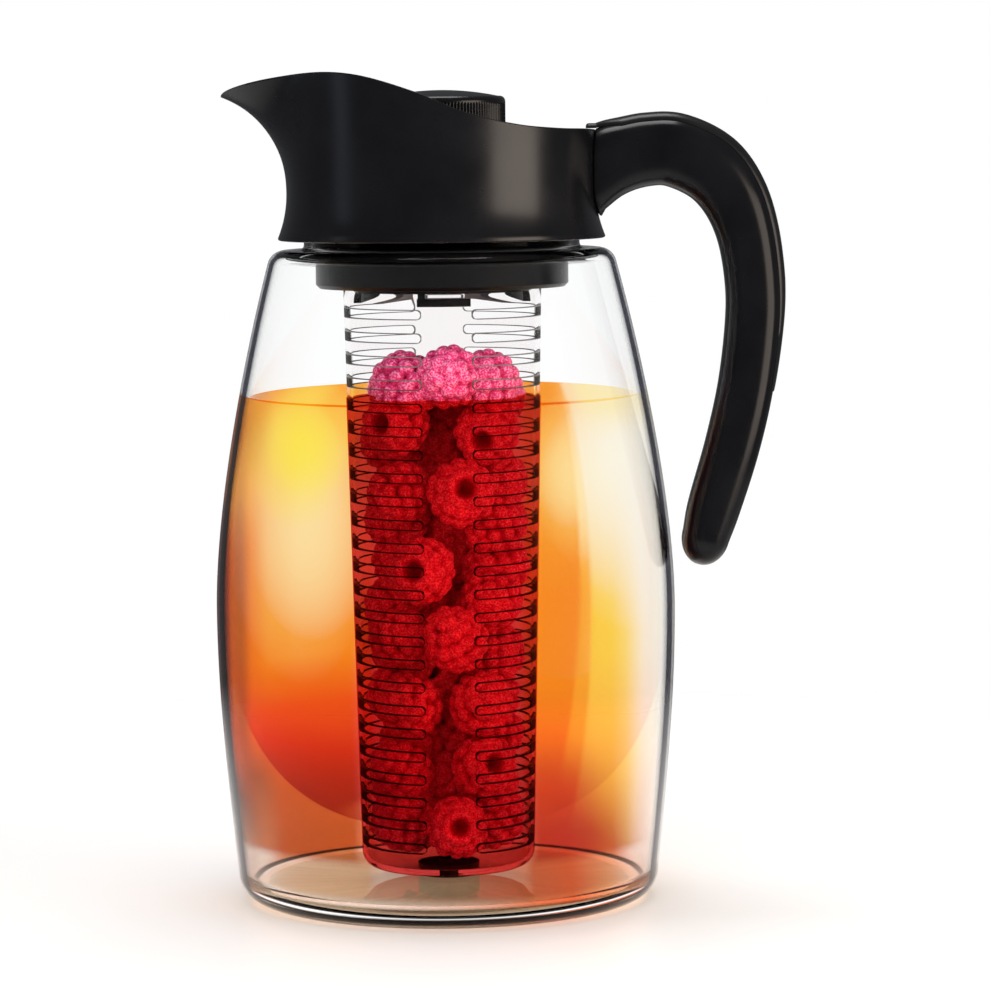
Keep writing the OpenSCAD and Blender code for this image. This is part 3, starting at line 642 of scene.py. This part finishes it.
def jug_side(inset, start_z, end_round):
    """Side of the jug from the heel to the shoulder, set in by a distance."""
    rise = BELLY_Z - start_z
    corner = np.array([SHOULDER_R - inset - end_round, SHOULDER_Z - SHOULDER_ROUND])
    lean = math.radians(SIDE_LEAN)
    end = corner + end_round * np.array([math.cos(lean), math.sin(lean)])
    climb = end[1] - BELLY_Z
    belly = np.array([BELLY_R - inset, BELLY_Z])
    low = [(HEEL_R - inset, start_z), (HEEL_R + HEEL_SWELL - inset, start_z + HEEL_PULL * rise),
           (BELLY_R - inset, BELLY_Z - LOW_BELLY_PULL * rise), belly]
    high = [belly, belly + np.array([0, HIGH_BELLY_PULL * climb]),
            end + SHOULDER_PULL * climb * np.array([math.tan(lean), -1.0]), end]
    return bezier(low, 24)[1:] + bezier(high, 36)[1:] + arc(corner, end_round, SIDE_LEAN, 90)[1:]


def glass_profile():
    """Outside of the glass from the base to the neck's bore, and inside from there to the floor."""
    root_round = 1.8
    lip = 1.2
    bore = NECK_R - GLASS_WALL
    under_shoulder = SHOULDER_Z - GLASS_WALL
    inner_z = GLASS_FLOOR + FLOOR_ROUND
    inner_heel = arc((HEEL_R - GLASS_WALL - FLOOR_ROUND, inner_z), FLOOR_ROUND, -90, 0, 12)
    inner_side = inner_heel + jug_side(GLASS_WALL, inner_z, SHOULDER_ROUND - GLASS_WALL)
    outside = ([(0, 0)] + arc((HEEL_R - HEEL_ROUND, HEEL_ROUND), HEEL_ROUND, -90, 0, 12)
               + jug_side(0, HEEL_ROUND, SHOULDER_ROUND)
               + arc((NECK_R + root_round, SHOULDER_Z + root_round), root_round, 270, 180)
               + arc((NECK_R, BEAD_Z), BEAD_R, -90, 90)
               + arc((NECK_R - lip, NECK_TOP_Z - lip), lip, 0, 90)
               + arc((bore + lip, NECK_TOP_Z - lip), lip, 90, 180))
    inside = (arc((bore + lip, under_shoulder + lip), lip, 180, 270)
              + inner_side[::-1] + [(0, GLASS_FLOOR)])
    return outside, inside


def tea_profile():
    """Tea against the inner wall, lapping a hair into the glass, with a raised edge at the wall."""
    inset = GLASS_WALL - TEA_LAP
    floor = GLASS_FLOOR - TEA_LAP
    inner_z = floor + FLOOR_ROUND
    heel = arc((HEEL_R - inset - FLOOR_ROUND, inner_z), FLOOR_ROUND, -90, 0, 12)
    side = [p for p in jug_side(inset, inner_z, SHOULDER_ROUND - GLASS_WALL) if p[1] < TEA_Z]
    edge_r = side[-1][0] - MENISCUS_IN
    meniscus = [(edge_r - across, TEA_Z + up) for across, up in MENISCUS]
    return [(0, floor)] + heel + side + meniscus + [(0, TEA_Z)]


def deep_shade_profile():
    """The egg of painted shade in the tea, kept just inside the tea's own side."""
    side = jug_side(GLASS_WALL + EGG_GAP, GLASS_FLOOR + FLOOR_ROUND, SHOULDER_ROUND - GLASS_WALL)
    side_r, side_z = zip(*side)
    rows = []
    for a in np.radians(np.linspace(0, 90, 121)):
        r = EGG_R * math.sin(a) ** (2 / EGG_POWER)
        z = EGG_Z - EGG_DROP * math.cos(a) ** (2 / EGG_POWER)
        if z > EGG_TOP_Z:
            break
        rows.append((min(r, np.interp(z, side_z, side_r)), z))
    return rows + [(rows[-1][0], EGG_TOP_Z), (0, EGG_TOP_Z)]


JUG_STEPS = 192
jug_outside, jug_inside = glass_profile()
jug_shape = lathe(jug_outside + jug_inside, JUG_STEPS)
jug_piece = make_piece("jug_glass_body", jug_shape, "jug", [glass, glass_within], 60)
for face in list(jug_piece.data.polygons)[len(jug_outside) * JUG_STEPS:]:
    face.material_index = 1
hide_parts("glass_jug")
make_piece("tea", lathe(tea_profile(), JUG_STEPS), "jug", [tea_colour], 60)
# The egg of painted shade in the tea
make_piece("tea_heart_shade", lathe(deep_shade_profile(), JUG_STEPS), "jug", [deep_shade_colour], 60)


# Spout collar

RIM_SHARES = np.array([0, 0.015, 0.03, 0.104, 0.307, 0.679, 0.936, 1, 0.9, 0.624])
RIM_STEP = 20.0
RIM_EASE = 0.15
RIM_ROUND = 0.3
FOOT_ROUND = 0.6
FOOT_IN = 0.2
FOOT_UP = 0.15
SPOUT_SHARE = 0.8
SPOUT_POWER = 2.3
LIP_POWER = 10


def rim_z(angle):
    """Height of the collar's rim at an angle from the handle."""
    share = through(RIM_SHARES, RIM_SHARES[1], angle / RIM_STEP)
    return COLLAR_Z + RIM_UP + RIM_RISE * share


def collar_r(angle, z):
    """Outer radius of the collar at an angle from the handle and a height."""
    waist_z = COLLAR_Z + WAIST_UP
    below = max(0.0, (waist_z - z) / WAIST_UP)
    above = max(0.0, (z - waist_z) / (rim_z(angle) - RIM_EASE - waist_z))
    spout = SPOUT_REACH * math.exp(-(((180 - angle) / SPOUT_SPREAD) ** 2))
    lean = SPOUT_SHARE * above**SPOUT_POWER + (1 - SPOUT_SHARE) * above**LIP_POWER
    return WAIST_R + COLLAR_FLARE * below**2 + spout * lean


def collar_loop(turn):
    """One column of the collar: up the outside, over the rim and down the inside."""
    angle = 360 - turn if turn > 180 else turn
    rows = 34
    crowding = 1.4
    low = COLLAR_Z + FOOT_ROUND
    top = rim_z(angle) - RIM_ROUND
    heights = [low + (1 - (1 - i / rows) ** crowding) * (top - low) for i in range(rows + 1)]
    outer = [(collar_r(angle, z), z) for z in heights]
    crest_r = outer[-1][0] - RIM_ROUND
    crest = [(crest_r + RIM_ROUND * math.cos(a), top + RIM_ROUND * math.sin(a))
             for a in np.radians([35, 65, 90, 115, 145])]
    inner = []
    for z in reversed(heights):
        up = (z - COLLAR_Z) / (top - COLLAR_Z)
        wall = COLLAR_WALL + (2 * RIM_ROUND - COLLAR_WALL) * up**4
        inner.append((collar_r(angle, z) - wall, z))
    out_r = outer[0][0]
    in_r = inner[-1][0]
    foot = [(in_r + FOOT_IN, COLLAR_Z + FOOT_UP), (in_r + FOOT_ROUND, COLLAR_Z),
            (out_r - FOOT_ROUND, COLLAR_Z), (out_r - FOOT_IN, COLLAR_Z + FOOT_UP)]
    loop = outer + crest + inner + foot
    a = math.radians(turn)
    return [np.array([r * math.cos(a), r * math.sin(a), z]) for r, z in loop]


COLUMNS = 240
collar_shape = skin([collar_loop(360 * i / COLUMNS) for i in range(COLUMNS)], closed=True)
collar_piece = make_piece("collar_shell", collar_shape, "jug", [gloss_black], 60)
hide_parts("spout_collar")


# Handle

HANDLE_REACH = BELLY_R + FINGER_GAP + GRIP_T / 2 - WAIST_R
ROOT_Z = COLLAR_Z + RIM_UP + ROOT_OVER - ROOT_T / 2
GRIP_PATH = [np.array(row, float) for row in [
    (0, 0, ROOT_T / GRIP_T), (0.171, 0.037, 1.31), (0.341, 0.054, 1.235), (0.517, 0.05, 1.25),
    (0.728, 0.005, 1.23), (0.87, -0.071, 1.135), (0.958, -0.173, 1.04), (1.001, -0.302, 1),
    (1, -0.42, 1), (0.951, -0.589, 0.995), (0.862, -0.754, 0.985), (0.744, -0.919, 0.945),
    (0.69, -1, 0.845)]]
GRIP_GUIDE = np.array([-GRIP_PATH[1][0], -GRIP_PATH[1][1], ROOT_T / GRIP_T])
GRIP_LAST = len(GRIP_PATH) - 1
UPRIGHT_UNTIL = 2
SECTION_POWER = 3
SPINE_FADE = 7
SPINE_END = 9
SPINE_END_T = 0.3
SPINE_SEAT = 0.08
# Rings at the root: size and gap off the collar
ROOT_RINGS = [(0.95, 0.15), (0.985, 0.4), (1.0, 0.9)]
# Rings at the tip of the tongue: distance from its end and share of its thickness
LAP_RINGS = [(0, 0.5), (0.25, 0.85), (0.7, 1.0)]
# Rings at the fading end of the strip: place before its end and share of its thickness
FADE_RINGS = [(0.02, 0.85), (0.0, 0.5)]
# Fall of the strip's crown towards its edges, as a share of its thickness
CROWN_FALL = 0.75
CROWN_POWER = 8


def grip_at(t):
    """Across, height and depth of the grip at place t on its path."""
    row = through(GRIP_PATH, GRIP_GUIDE, t)
    return np.array([WAIST_R + row[0] * HANDLE_REACH, ROOT_Z + row[1] * HANDLE_DROP, row[2] * GRIP_T])


def path_way(t):
    step = 0.01
    d = (grip_at(min(t + step, GRIP_LAST)) - grip_at(max(t - step, 0)))[:2]
    return d / np.linalg.norm(d)


def grip_way(t):
    """Way the grip's section faces: level at the root, then along the path."""
    share = min(1.0, t / UPRIGHT_UNTIL)
    way = (1 - share) * np.array([1.0, 0.0]) + share * path_way(max(t, UPRIGHT_UNTIL))
    return way / np.linalg.norm(way)


def grip_point(t, out, side, ahead):
    """A point off the path: towards the grip's outer edge, to the side and ahead."""
    c = grip_at(t)
    w = grip_way(t)
    return np.array([c[0] - w[1] * out + ahead * w[0], side, c[1] + w[0] * out + ahead * w[1]])


def power_of(v, p):
    return math.copysign(abs(v) ** p, v)


def grip_ring(t, size=1.0, ahead=0.0):
    """The grip's rounded section at place t."""
    sides = 64
    deep = size * grip_at(t)[2] / 2
    wide = size * GRIP_W / 2
    ring = []
    for j in range(sides):
        a = 2 * math.pi * j / sides
        out = deep * power_of(math.cos(a), 2 / SECTION_POWER)
        side = wide * power_of(math.sin(a), 2 / SECTION_POWER)
        ring.append(grip_point(t, out, side, ahead))
    return ring


def against_collar(ring, gap):
    """The ring's points moved along X to lie a gap off the collar."""
    laid = []
    for x, y, z in ring:
        r = collar_r(0, min(z, COLLAR_Z + RIM_UP)) + gap
        laid.append(np.array([math.sqrt(r * r - y * y), y, z]))
    return laid


def grip_rings():
    per_step = 12
    tip_rings = 12
    tip_turn = 88
    root = [against_collar(grip_ring(0, size), gap) for size, gap in ROOT_RINGS]
    body = [grip_ring(i / per_step) for i in range(per_step // 3, GRIP_LAST * per_step + 1)]
    tip = [grip_ring(GRIP_LAST, math.cos(a), TIP_LEN * math.sin(a))
           for a in np.radians(np.linspace(0, tip_turn, tip_rings + 1))[1:]]
    return root + body + tip


def spine_ring(t, ahead=0.0, share=1.0):
    """The strip's section at place t, from the grip's surface to its own crown."""
    n = 16
    half = (TONGUE_W + (SPINE_W - TONGUE_W) * min(1.0, t)) / 2
    gone = max(0.0, (t - SPINE_FADE) / (SPINE_END - SPINE_FADE))
    thick = share * (SPINE_T + (SPINE_END_T - SPINE_T) * gone)
    deep = grip_at(t)[2] / 2
    wide = GRIP_W / 2
    under = []
    over = []
    for j in range(n + 1):
        y = half * (2 * j / n - 1)
        seat = deep * (1 - (abs(y) / wide) ** SECTION_POWER) ** (1 / SECTION_POWER) + SPINE_SEAT
        crown = thick * (1 - CROWN_FALL * (abs(y) / half) ** CROWN_POWER)
        under.append(grip_point(t, seat, y, ahead))
        over.append(grip_point(t, seat + crown, y, ahead))
    return under + over[::-1]


def spine_rings():
    per_step = 10
    lap = [spine_ring(0, from_end - SPINE_LAP, share) for from_end, share in LAP_RINGS]
    run = [spine_ring(i / per_step) for i in range(SPINE_END * per_step)]
    fade = [spine_ring(SPINE_END - before, 0, share) for before, share in FADE_RINGS]
    return lap + run + fade


grip_piece = make_piece("handle_grip_shell", skin(grip_rings()), "jug", [grip_black], 50)
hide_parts("handle_grip")
spine_shape = skin(spine_rings())
spine_piece = make_piece("handle_spine_strip", spine_shape, "jug", [spine_black], 50)
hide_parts("handle_spine")


# Knob

FLUTES = 120
FLUTE_D = 0.38
FLUTE_FADE = 0.6
FLUTE_INSET = 1.0
KNOB_WALL = 2.2
KNOB_FOOT = 0.3
INSERT_GAP = 0.15
INSERT_EDGE = 0.2


def knob_points():
    """Fluted knob with a rounded top edge, its seat for the insert, and a hub underneath."""
    per_flute = 6
    in_r = KNOB_R - KNOB_WALL
    seat_r = INSERT_R + INSERT_GAP
    roof_z = INSERT_Z - KNOB_WALL
    flutes_low = KNOB_Z + FLUTE_INSET
    flutes_high = KNOB_TOP_Z - KNOB_ROUND - FLUTE_INSET
    below = [(0, HUB_Z), (HUB_R, HUB_Z), (HUB_R, roof_z), (in_r, roof_z), (in_r, KNOB_Z),
             (KNOB_R - KNOB_FOOT, KNOB_Z)]
    side = [(KNOB_R, KNOB_Z + KNOB_FOOT), (KNOB_R, flutes_low), (KNOB_R, flutes_high),
            (KNOB_R, flutes_high + FLUTE_FADE)]
    edge = arc((KNOB_R - KNOB_ROUND, KNOB_TOP_Z - KNOB_ROUND), KNOB_ROUND, 0, 90)
    top = [(seat_r, KNOB_TOP_Z), (seat_r, INSERT_Z), (0, INSERT_Z)]
    points, faces = lathe(below + side + edge + top, FLUTES * per_flute)
    shaped = []
    for x, y, z in points:
        if z in (flutes_low, flutes_high):
            wave = 0.5 - 0.5 * math.cos(FLUTES * math.atan2(y, x))
            share = 1 - FLUTE_D * wave / math.hypot(x, y)
            x, y = x * share, y * share
        shaped.append((x, y, z))
    return shaped, faces


def insert_profile():
    """The domed disc on the knob."""
    ball = (INSERT_R**2 + DOME_H**2) / (2 * DOME_H)
    half = math.degrees(math.asin(INSERT_R / ball))
    dome = arc((0, KNOB_TOP_Z + DOME_H - ball), ball, 90 - half, 90, 16)
    return [(0, INSERT_Z), (INSERT_R, INSERT_Z), (INSERT_R, KNOB_TOP_Z - INSERT_EDGE)] + dome


knob_piece = make_piece("knob_grip", knob_points(), "knob", [gloss_black], 35)
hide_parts("knob_cap")
insert_shape = lathe(insert_profile(), 96)
insert_piece = make_piece("knob_disc", insert_shape, "knob", [spine_black], 35)
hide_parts("knob_insert")


# Infusion core

SLOT_HALF = SLOT_H / 2
SLOT_LIP = 0.22
# Rows of points at a slot: side of its middle and distance past its edge
SLOT_LINES = [(-1, SLOT_LIP), (-1, 0.0), (1, 0.0), (1, SLOT_LIP)]
BASE_RADII = [4.0, 14.0]
BASE_TURN = -15
LAND_SHARES = [-1.0, -0.66, -0.33]
PLAIN_TOP = 4.0


def core_outer_r(z):
    share = (z - CORE_Z - CORE_ROUND) / (CORE_TOP_Z - CORE_Z - CORE_ROUND)
    return CORE_BOTTOM_R + (CORE_TOP_R - CORE_BOTTOM_R) * max(0.0, share)


def slot_rows():
    """Heights of the slots' middles, from the lowest up."""
    count = int((CORE_TOP_Z - CORE_Z - SLOT_FIRST - CORE_ROUND) / SLOT_PITCH) + 1
    return [CORE_TOP_Z - SLOT_FIRST - i * SLOT_PITCH for i in range(count)][::-1]


def core_columns():
    """Columns of points by quarter: the land, a slot's round end and its open arc, there or back."""
    round_steps = 5
    arc_steps = 22
    past = [SLOT_HALF * (1 - math.cos(math.pi / 2 * i / round_steps)) for i in range(round_steps + 1)]
    land = [("land", share) for share in LAND_SHARES]
    ends = [("end", distance) for distance in past]
    side = [("arc", i / arc_steps) for i in range(1, arc_steps)]
    there = land + ends + side
    back = [("arc", 1.0)] + side[::-1] + ends[::-1] + land[::-1][:-1]
    return [(quarter, *column) for quarter in range(4) for column in (back if quarter % 2 else there)]


def column_angle(kind, value, r):
    """Angle of a column from the middle of the land, in degrees."""
    def across(distance):
        return math.degrees(math.asin(distance / r))

    if kind == "land":
        return across(LAND_W / 2) * (1 + value)
    if kind == "end":
        return across(LAND_W / 2 + value)
    past = across(LAND_W / 2 + SLOT_HALF)
    return past + (90 - past) * value


def slot_reach(kind, value):
    """Half height of a slot's row of points at a column."""
    if kind == "end":
        return math.sqrt(max(0.0, SLOT_HALF**2 - (SLOT_HALF - value) ** 2))
    return SLOT_HALF


def core_sheet():
    """Outer skin of the core: its points, its faces, which of these edge a slot, and the faces of the
    slots' sheets of painted shade.
    """
    columns = core_columns()
    count = len(columns)
    corner = (CORE_BOTTOM_R - CORE_ROUND, CORE_Z + CORE_ROUND)
    least_r = CORE_BOTTOM_R - 1
    base = [(r, CORE_Z, 0, 0.0) for r in BASE_RADII]
    base += [(r, z, 0, 0.0) for r, z in arc(corner, CORE_ROUND, -90, BASE_TURN, 6)]
    lines = [(None, z, side, past) for z in slot_rows() for side, past in SLOT_LINES]
    top = [(None, z, 0, 0.0) for z in (CORE_TOP_Z - PLAIN_TOP, CORE_TOP_Z)]
    points = []
    rows = []
    for fixed_r, middle_z, side, past in base + lines + top:
        rows.append(range(len(points), len(points) + count))
        for quarter, kind, value in columns:
            z = middle_z + side * (slot_reach(kind, value) + past)
            r = fixed_r or core_outer_r(z)
            a = column_angle(kind, value, max(r, least_r))
            turn = math.radians([-90 + a, 90 - a, 90 + a, 270 - a][quarter] + CORE_CLOCK)
            points.append((r * math.cos(turn), r * math.sin(turn), z))
    faces = []
    dark = []
    painted_shade = []
    for i, (low, high) in enumerate(zip(rows, rows[1:])):
        line = i - len(base)
        step = line % 4 if 0 <= line < len(lines) - 1 else 3
        for j in range(count):
            k = (j + 1) % count
            face = [low[j], low[k], high[k], high[j]]
            by_slot = step < 3 and "land" not in (columns[j][1], columns[k][1])
            if by_slot and step == 1:
                painted_shade.append(face)
                continue
            if by_slot:
                dark.append(len(faces))
            faces.append(face)
    middle = len(points)
    points.append((0.0, 0.0, CORE_Z))
    for j in range(count):
        faces.append([middle, rows[0][(j + 1) % count], rows[0][j]])
    return points, faces, dark, painted_shade


core_points, core_faces, dark_faces, painted_shade_faces = core_sheet()
core_shape = (core_points, core_faces)
core_piece = make_piece("core_tube", core_shape, "core", [core_clear, core_edge_shade], 35)
for k in dark_faces:
    core_piece.data.polygons[k].material_index = 1
used = sorted({k for face in painted_shade_faces for k in face})
renumber = {k: i for i, k in enumerate(used)}
painted_shade_shape = ([core_points[k] for k in used], [[renumber[k] for k in face] for face in painted_shade_faces])
# Sheets of painted shade in the slots, dark where they are seen edge on
make_piece("core_slot_painted_shade", painted_shade_shape, "core", [core_painted_shade], 35)
weld = core_piece.modifiers.new("weld", "WELD")
weld.merge_threshold = 0.01 * MM
wall = core_piece.modifiers.new("wall", "SOLIDIFY")
wall.thickness = CORE_WALL * MM
wall.offset = -1.0
wall.use_even_offset = True
wall.material_offset_rim = 1
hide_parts("infusion_core")


TABS = 3
TAB_FROM = -99.0
TAB_SPAN = 22.0
TAB_IN_R = 27.45
TAB_OUT_R = 31.1
TAB_LOW_Z = 196.0
TAB_TOP_Z = 197.1


def tab_points():
    """The inward tabs at the top of the core that sit on the hooks of the socket."""
    points = []
    faces = []
    steps = 10
    corners = [(TAB_IN_R, TAB_LOW_Z), (TAB_OUT_R, TAB_LOW_Z), (TAB_OUT_R, TAB_TOP_Z), (TAB_IN_R, TAB_TOP_Z)]
    for tab in range(TABS):
        rings = []
        for i in range(steps + 1):
            a = math.radians(TAB_FROM + 360 * tab / TABS + TAB_SPAN * i / steps)
            rings.append([np.array([r * math.cos(a), r * math.sin(a), z]) for r, z in corners])
        tab_mesh, tab_faces = skin(rings)
        faces += [[len(points) + k for k in face] for face in tab_faces]
        points += tab_mesh
    return points, faces


make_piece("core_tabs", tab_points(), "core", [core_clear], 35)


# Fruit and its infusion

INFUSION_PAST = 0.3


def infusion_profile():
    """Red infusion that fills the core and reaches a hair past its outside."""
    top = TEA_Z - INFUSION_PAST
    corner = (CORE_BOTTOM_R - CORE_ROUND, CORE_Z + CORE_ROUND)
    base = arc(corner, CORE_ROUND + INFUSION_PAST, -90, 0, 6)
    return [(0, CORE_Z - INFUSION_PAST)] + base + [(core_outer_r(top) + INFUSION_PAST, top), (0, top)]


infusion_shape = lathe(infusion_profile(), 96)
make_piece("fruit_infusion", infusion_shape, "jug", [red_infusion], 40)


def berry_mesh(name, rng):
    """A raspberry: drupelets in rows round an egg shape, with the hollow where the stalk was."""
    length = 11.0
    width = 10.2
    bead = 2.7
    sunk = 0.75 * bead
    hollow_from = 66
    hollow_depth = 0.5
    hollow_slope = 1.6
    flesh = 0.78 * width
    # Lift of each row in degrees, and its drupelets
    rows = [(-78, 4), (-48, 9), (-20, 12), (8, 13), (36, 11), (60, 8)]
    centres = []
    for row, (lift, count) in enumerate(rows):
        for k in range(count):
            turn = 360 * (k + 0.5 * (row % 2)) / count + rng.uniform(-4, 4)
            up = math.radians(lift + rng.uniform(-3, 3))
            out = math.cos(up) * (width - sunk)
            centres.append((out * math.cos(math.radians(turn)), out * math.sin(math.radians(turn)),
                            math.sin(up) * (length - sunk)))
    centres = np.array(centres)
    sizes = np.array([bead * rng.uniform(0.9, 1.12) for _ in centres])
    around = 84
    along = 60
    rings = []
    for i in range(1, along):
        lift = -math.pi / 2 + math.pi * i / along
        ring = []
        for j in range(around):
            turn = 2 * math.pi * j / around
            d = np.array([math.cos(lift) * math.cos(turn), math.cos(lift) * math.sin(turn), math.sin(lift)])
            ahead = centres @ d
            inside = ahead**2 - (np.sum(centres**2, axis=1) - sizes**2)
            reach = np.where(inside > 0, ahead + np.sqrt(np.maximum(inside, 0)), 0)
            r = max(float(reach.max()), flesh)
            hollow = max(0.0, (math.degrees(lift) - hollow_from) / (90 - hollow_from))
            r *= 1 - hollow_depth * min(1.0, hollow * hollow_slope)
            ring.append(d * r)
        rings.append(ring)
    return make_mesh(name, *skin(rings), [berry])


# Berries against the front of the core: place across, height and, where the hollow shows, its way
FRONT_BERRIES = [
    (-12, 168, None), (2, 170.5, None), (14, 168.5, None), (-15, 155, None), (14, 152, None),
    (5.5, 133, (0.15, -1, 0.25)), (-14, 133, None), (16, 122, None), (-7.5, 108, (-0.3, -1, 0.1)),
    (15, 98, None), (-15, 86, None), (3, 86, None), (-12, 64, None), (11, 64, None),
    (-15, 42, None), (12, 44, (0.4, -1, 0.2)), (3, 24.5, (0.1, -1, 0.15)), (-15, 25, None),
    (17, 25.5, None)]
BERRY_LOW_Z = CORE_Z + CORE_WALL + 11.5
LAYER_STEP = 14.0
BACK_FROM = 15
BACK_STEP = 65
BACK_SHIFT = 20


def berry_reach(z):
    """How far out the middle of a berry may be at a height."""
    return core_outer_r(z) - CORE_WALL - BERRY_R


def add_berry(name, mesh, where, lean, size):
    piece = add_object(name, mesh)
    piece.matrix_world = Matrix.Translation(Vector(where) * MM) @ lean @ Matrix.Scale(size, 4)
    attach(piece, "core")


def place_berries():
    """Berries against the front of the core as in the photograph, and others behind them."""
    rng = random.Random(11)
    kinds = [berry_mesh(f"raspberry_shape_{k}", rng) for k in range(3)]
    for k, (x, z, hollow) in enumerate(FRONT_BERRIES):
        reach = berry_reach(z)
        y = -math.sqrt(max(0.0, reach * reach - x * x))
        x = max(-reach, min(reach, x))
        if hollow:
            lean = Vector(hollow).to_track_quat("Z", "Y").to_matrix().to_4x4()
        else:
            lean = Euler((rng.uniform(1.2, 2.4), 0, rng.uniform(0, 2 * math.pi))).to_matrix().to_4x4()
        add_berry(f"raspberry_front_{k}", kinds[k % 3], (x, y, z), lean, rng.uniform(0.95, 1.03))
    for layer in range(int((BERRY_TOP_Z - BERRY_LOW_Z) / LAYER_STEP) + 1):
        z = BERRY_LOW_Z + layer * LAYER_STEP
        reach = berry_reach(z)
        for k in range(3):
            turn = math.radians(BACK_FROM + BACK_STEP * k + BACK_SHIFT * (layer % 2) + rng.uniform(-8, 8))
            where = (reach * math.cos(turn), reach * math.sin(turn), z + rng.uniform(-1.5, 1.5))
            lean = Euler([rng.uniform(0, 2 * math.pi) for _ in range(3)]).to_matrix().to_4x4()
            shape = kinds[rng.randrange(3)]
            add_berry(f"raspberry_back_{layer}_{k}", shape, where, lean, rng.uniform(0.92, 1.03))


place_berries()


# Finishes of the solids that show as they are

FINISHES = {
    "neck_ring": plug_black, "lid_plug": plug_black, "lid_deck": grip_black, "core_socket": plug_black,
    "core_foot": spine_black, "neck_gasket": silicone, "plug_seal": silicone, "gate_seal": silicone,
    "stem_ring": silicone, "stem_bush": bush_grey, "gate_stem": bush_grey, "gate_disc": bush_grey,
    "knob_screw": steel,
}
for name, finish in FINISHES.items():
    mesh = nodes[name].data
    mesh.materials.clear()
    mesh.materials.append(finish)


# Camera, as the photograph was taken

IMAGE = 990
FOCAL_PX = 4221.0
EYE_Z = 0.252
EYE_BACK = 1.365
AIM_X = 0.01635
AIM_Z = 0.13094
ROLL = math.radians(-0.6)
camera = add_object("camera", bpy.data.cameras.new("camera"))
camera.data.sensor_width = 36.0
camera.data.lens = FOCAL_PX / IMAGE * camera.data.sensor_width
eye = Vector((AIM_X, -EYE_BACK, EYE_Z))
aim = Vector((AIM_X, 0.0, AIM_Z))
facing = (aim - eye).to_track_quat("-Z", "Y").to_matrix().to_4x4()
camera.matrix_world = Matrix.Translation(eye) @ facing @ Matrix.Rotation(ROLL, 4, "Z")
bpy.context.scene.camera = camera


# Floor, lamps and world

FLOOR_RADII = [0.0, 150.0, 400.0, 900.0]
# Distances from the axis between which the floor fades out, in metres
FLOOR_FADE = (0.16, 0.5)


def make_floor():
    """A pale round floor that fades into the white background."""
    s = Shader("pale_floor")
    s.set(Base_Color=(0.92, 0.92, 0.92, 1.0), Roughness=0.3, Specular_IOR_Level=0.2)
    s.show_through(s.between(s.distance(), *FLOOR_FADE), CLEAR)
    shape = lathe([(r, 0.0) for r in FLOOR_RADII], 128)
    floor = add_object("floor", make_mesh("floor", *shape, [s.material]))


def soft_box(name, place, aim, size, power, colour):
    """A rectangular soft lamp aimed at a point. Only its light and its gloss are seen."""
    lamp = bpy.data.lights.new(name, "AREA")
    lamp.shape = "RECTANGLE"
    lamp.size = size[0]
    lamp.size_y = size[1]
    lamp.energy = power
    lamp.color = colour
    obj = add_object(name, lamp)
    place = Vector(place)
    turn = (Vector(aim) - place).to_track_quat("-Z", "Y").to_matrix().to_4x4()
    obj.matrix_world = Matrix.Translation(place) @ turn
    obj.visible_camera = False
    obj.visible_transmission = False
    return obj


def make_world():
    """White to the camera and through glass, dim in reflections, and a soft fill for the rest."""
    world = bpy.data.worlds.new("studio")
    bpy.context.scene.world = world
    world.use_nodes = True
    tree = world.node_tree

    def light(node, colour, strength):
        node.inputs["Color"].default_value = (*colour, 1.0)
        node.inputs["Strength"].default_value = strength
        return node.outputs["Background"]

    def mixed(*sources):
        mix = tree.nodes.new("ShaderNodeMixShader")
        for source, target in zip(sources, mix.inputs):
            tree.links.new(source, target)
        return mix.outputs["Shader"]

    shown = light(tree.nodes["Background"], CLEAR, 1.0)
    fill = light(tree.nodes.new("ShaderNodeBackground"), CLEAR, 0.7)
    mirrored = light(tree.nodes.new("ShaderNodeBackground"), (0.92, 0.95, 1.0), 0.12)
    path = tree.nodes.new("ShaderNodeLightPath")
    seen = tree.nodes.new("ShaderNodeMath")
    seen.operation = "MAXIMUM"
    tree.links.new(path.outputs["Is Camera Ray"], seen.inputs[0])
    tree.links.new(path.outputs["Is Transmission Ray"], seen.inputs[1])
    unseen = mixed(path.outputs["Is Glossy Ray"], fill, mirrored)
    surface = mixed(seen.outputs["Value"], unseen, shown)
    tree.links.new(surface, tree.nodes["World Output"].inputs["Surface"])


make_floor()
middle = (0.0, 0.0, 0.14)
collar = (0.0, 0.0, 0.235)
soft_box("band", (0.62, -0.42, 0.20), collar, (0.5, 0.5), 5.0, (1.0, 0.86, 0.74))
soft_box("cool", (-0.72, -0.2, 0.225), collar, (0.12, 0.5), 0.2, (0.75, 0.85, 1.0))
soft_box("top", (0.0, 0.15, 1.1), middle, (0.5, 0.5), 6.0, (1.0, 1.0, 1.0))
front = soft_box("front", (-0.4, -1.2, 0.5), middle, (0.8, 0.8), 10.0, (1.0, 0.97, 0.94))
front.visible_glossy = False
base = soft_box("base", (0.0, 0.45, 0.13), (0.0, 0.0, 0.0), (0.4, 0.1), 0.5, (1.0, 0.98, 0.96))
base.visible_glossy = False
make_world()

scene = bpy.context.scene
scene.view_settings.view_transform = "Standard"
scene.cycles.max_bounces = 32
scene.cycles.transmission_bounces = 32
scene.cycles.transparent_max_bounces = 32
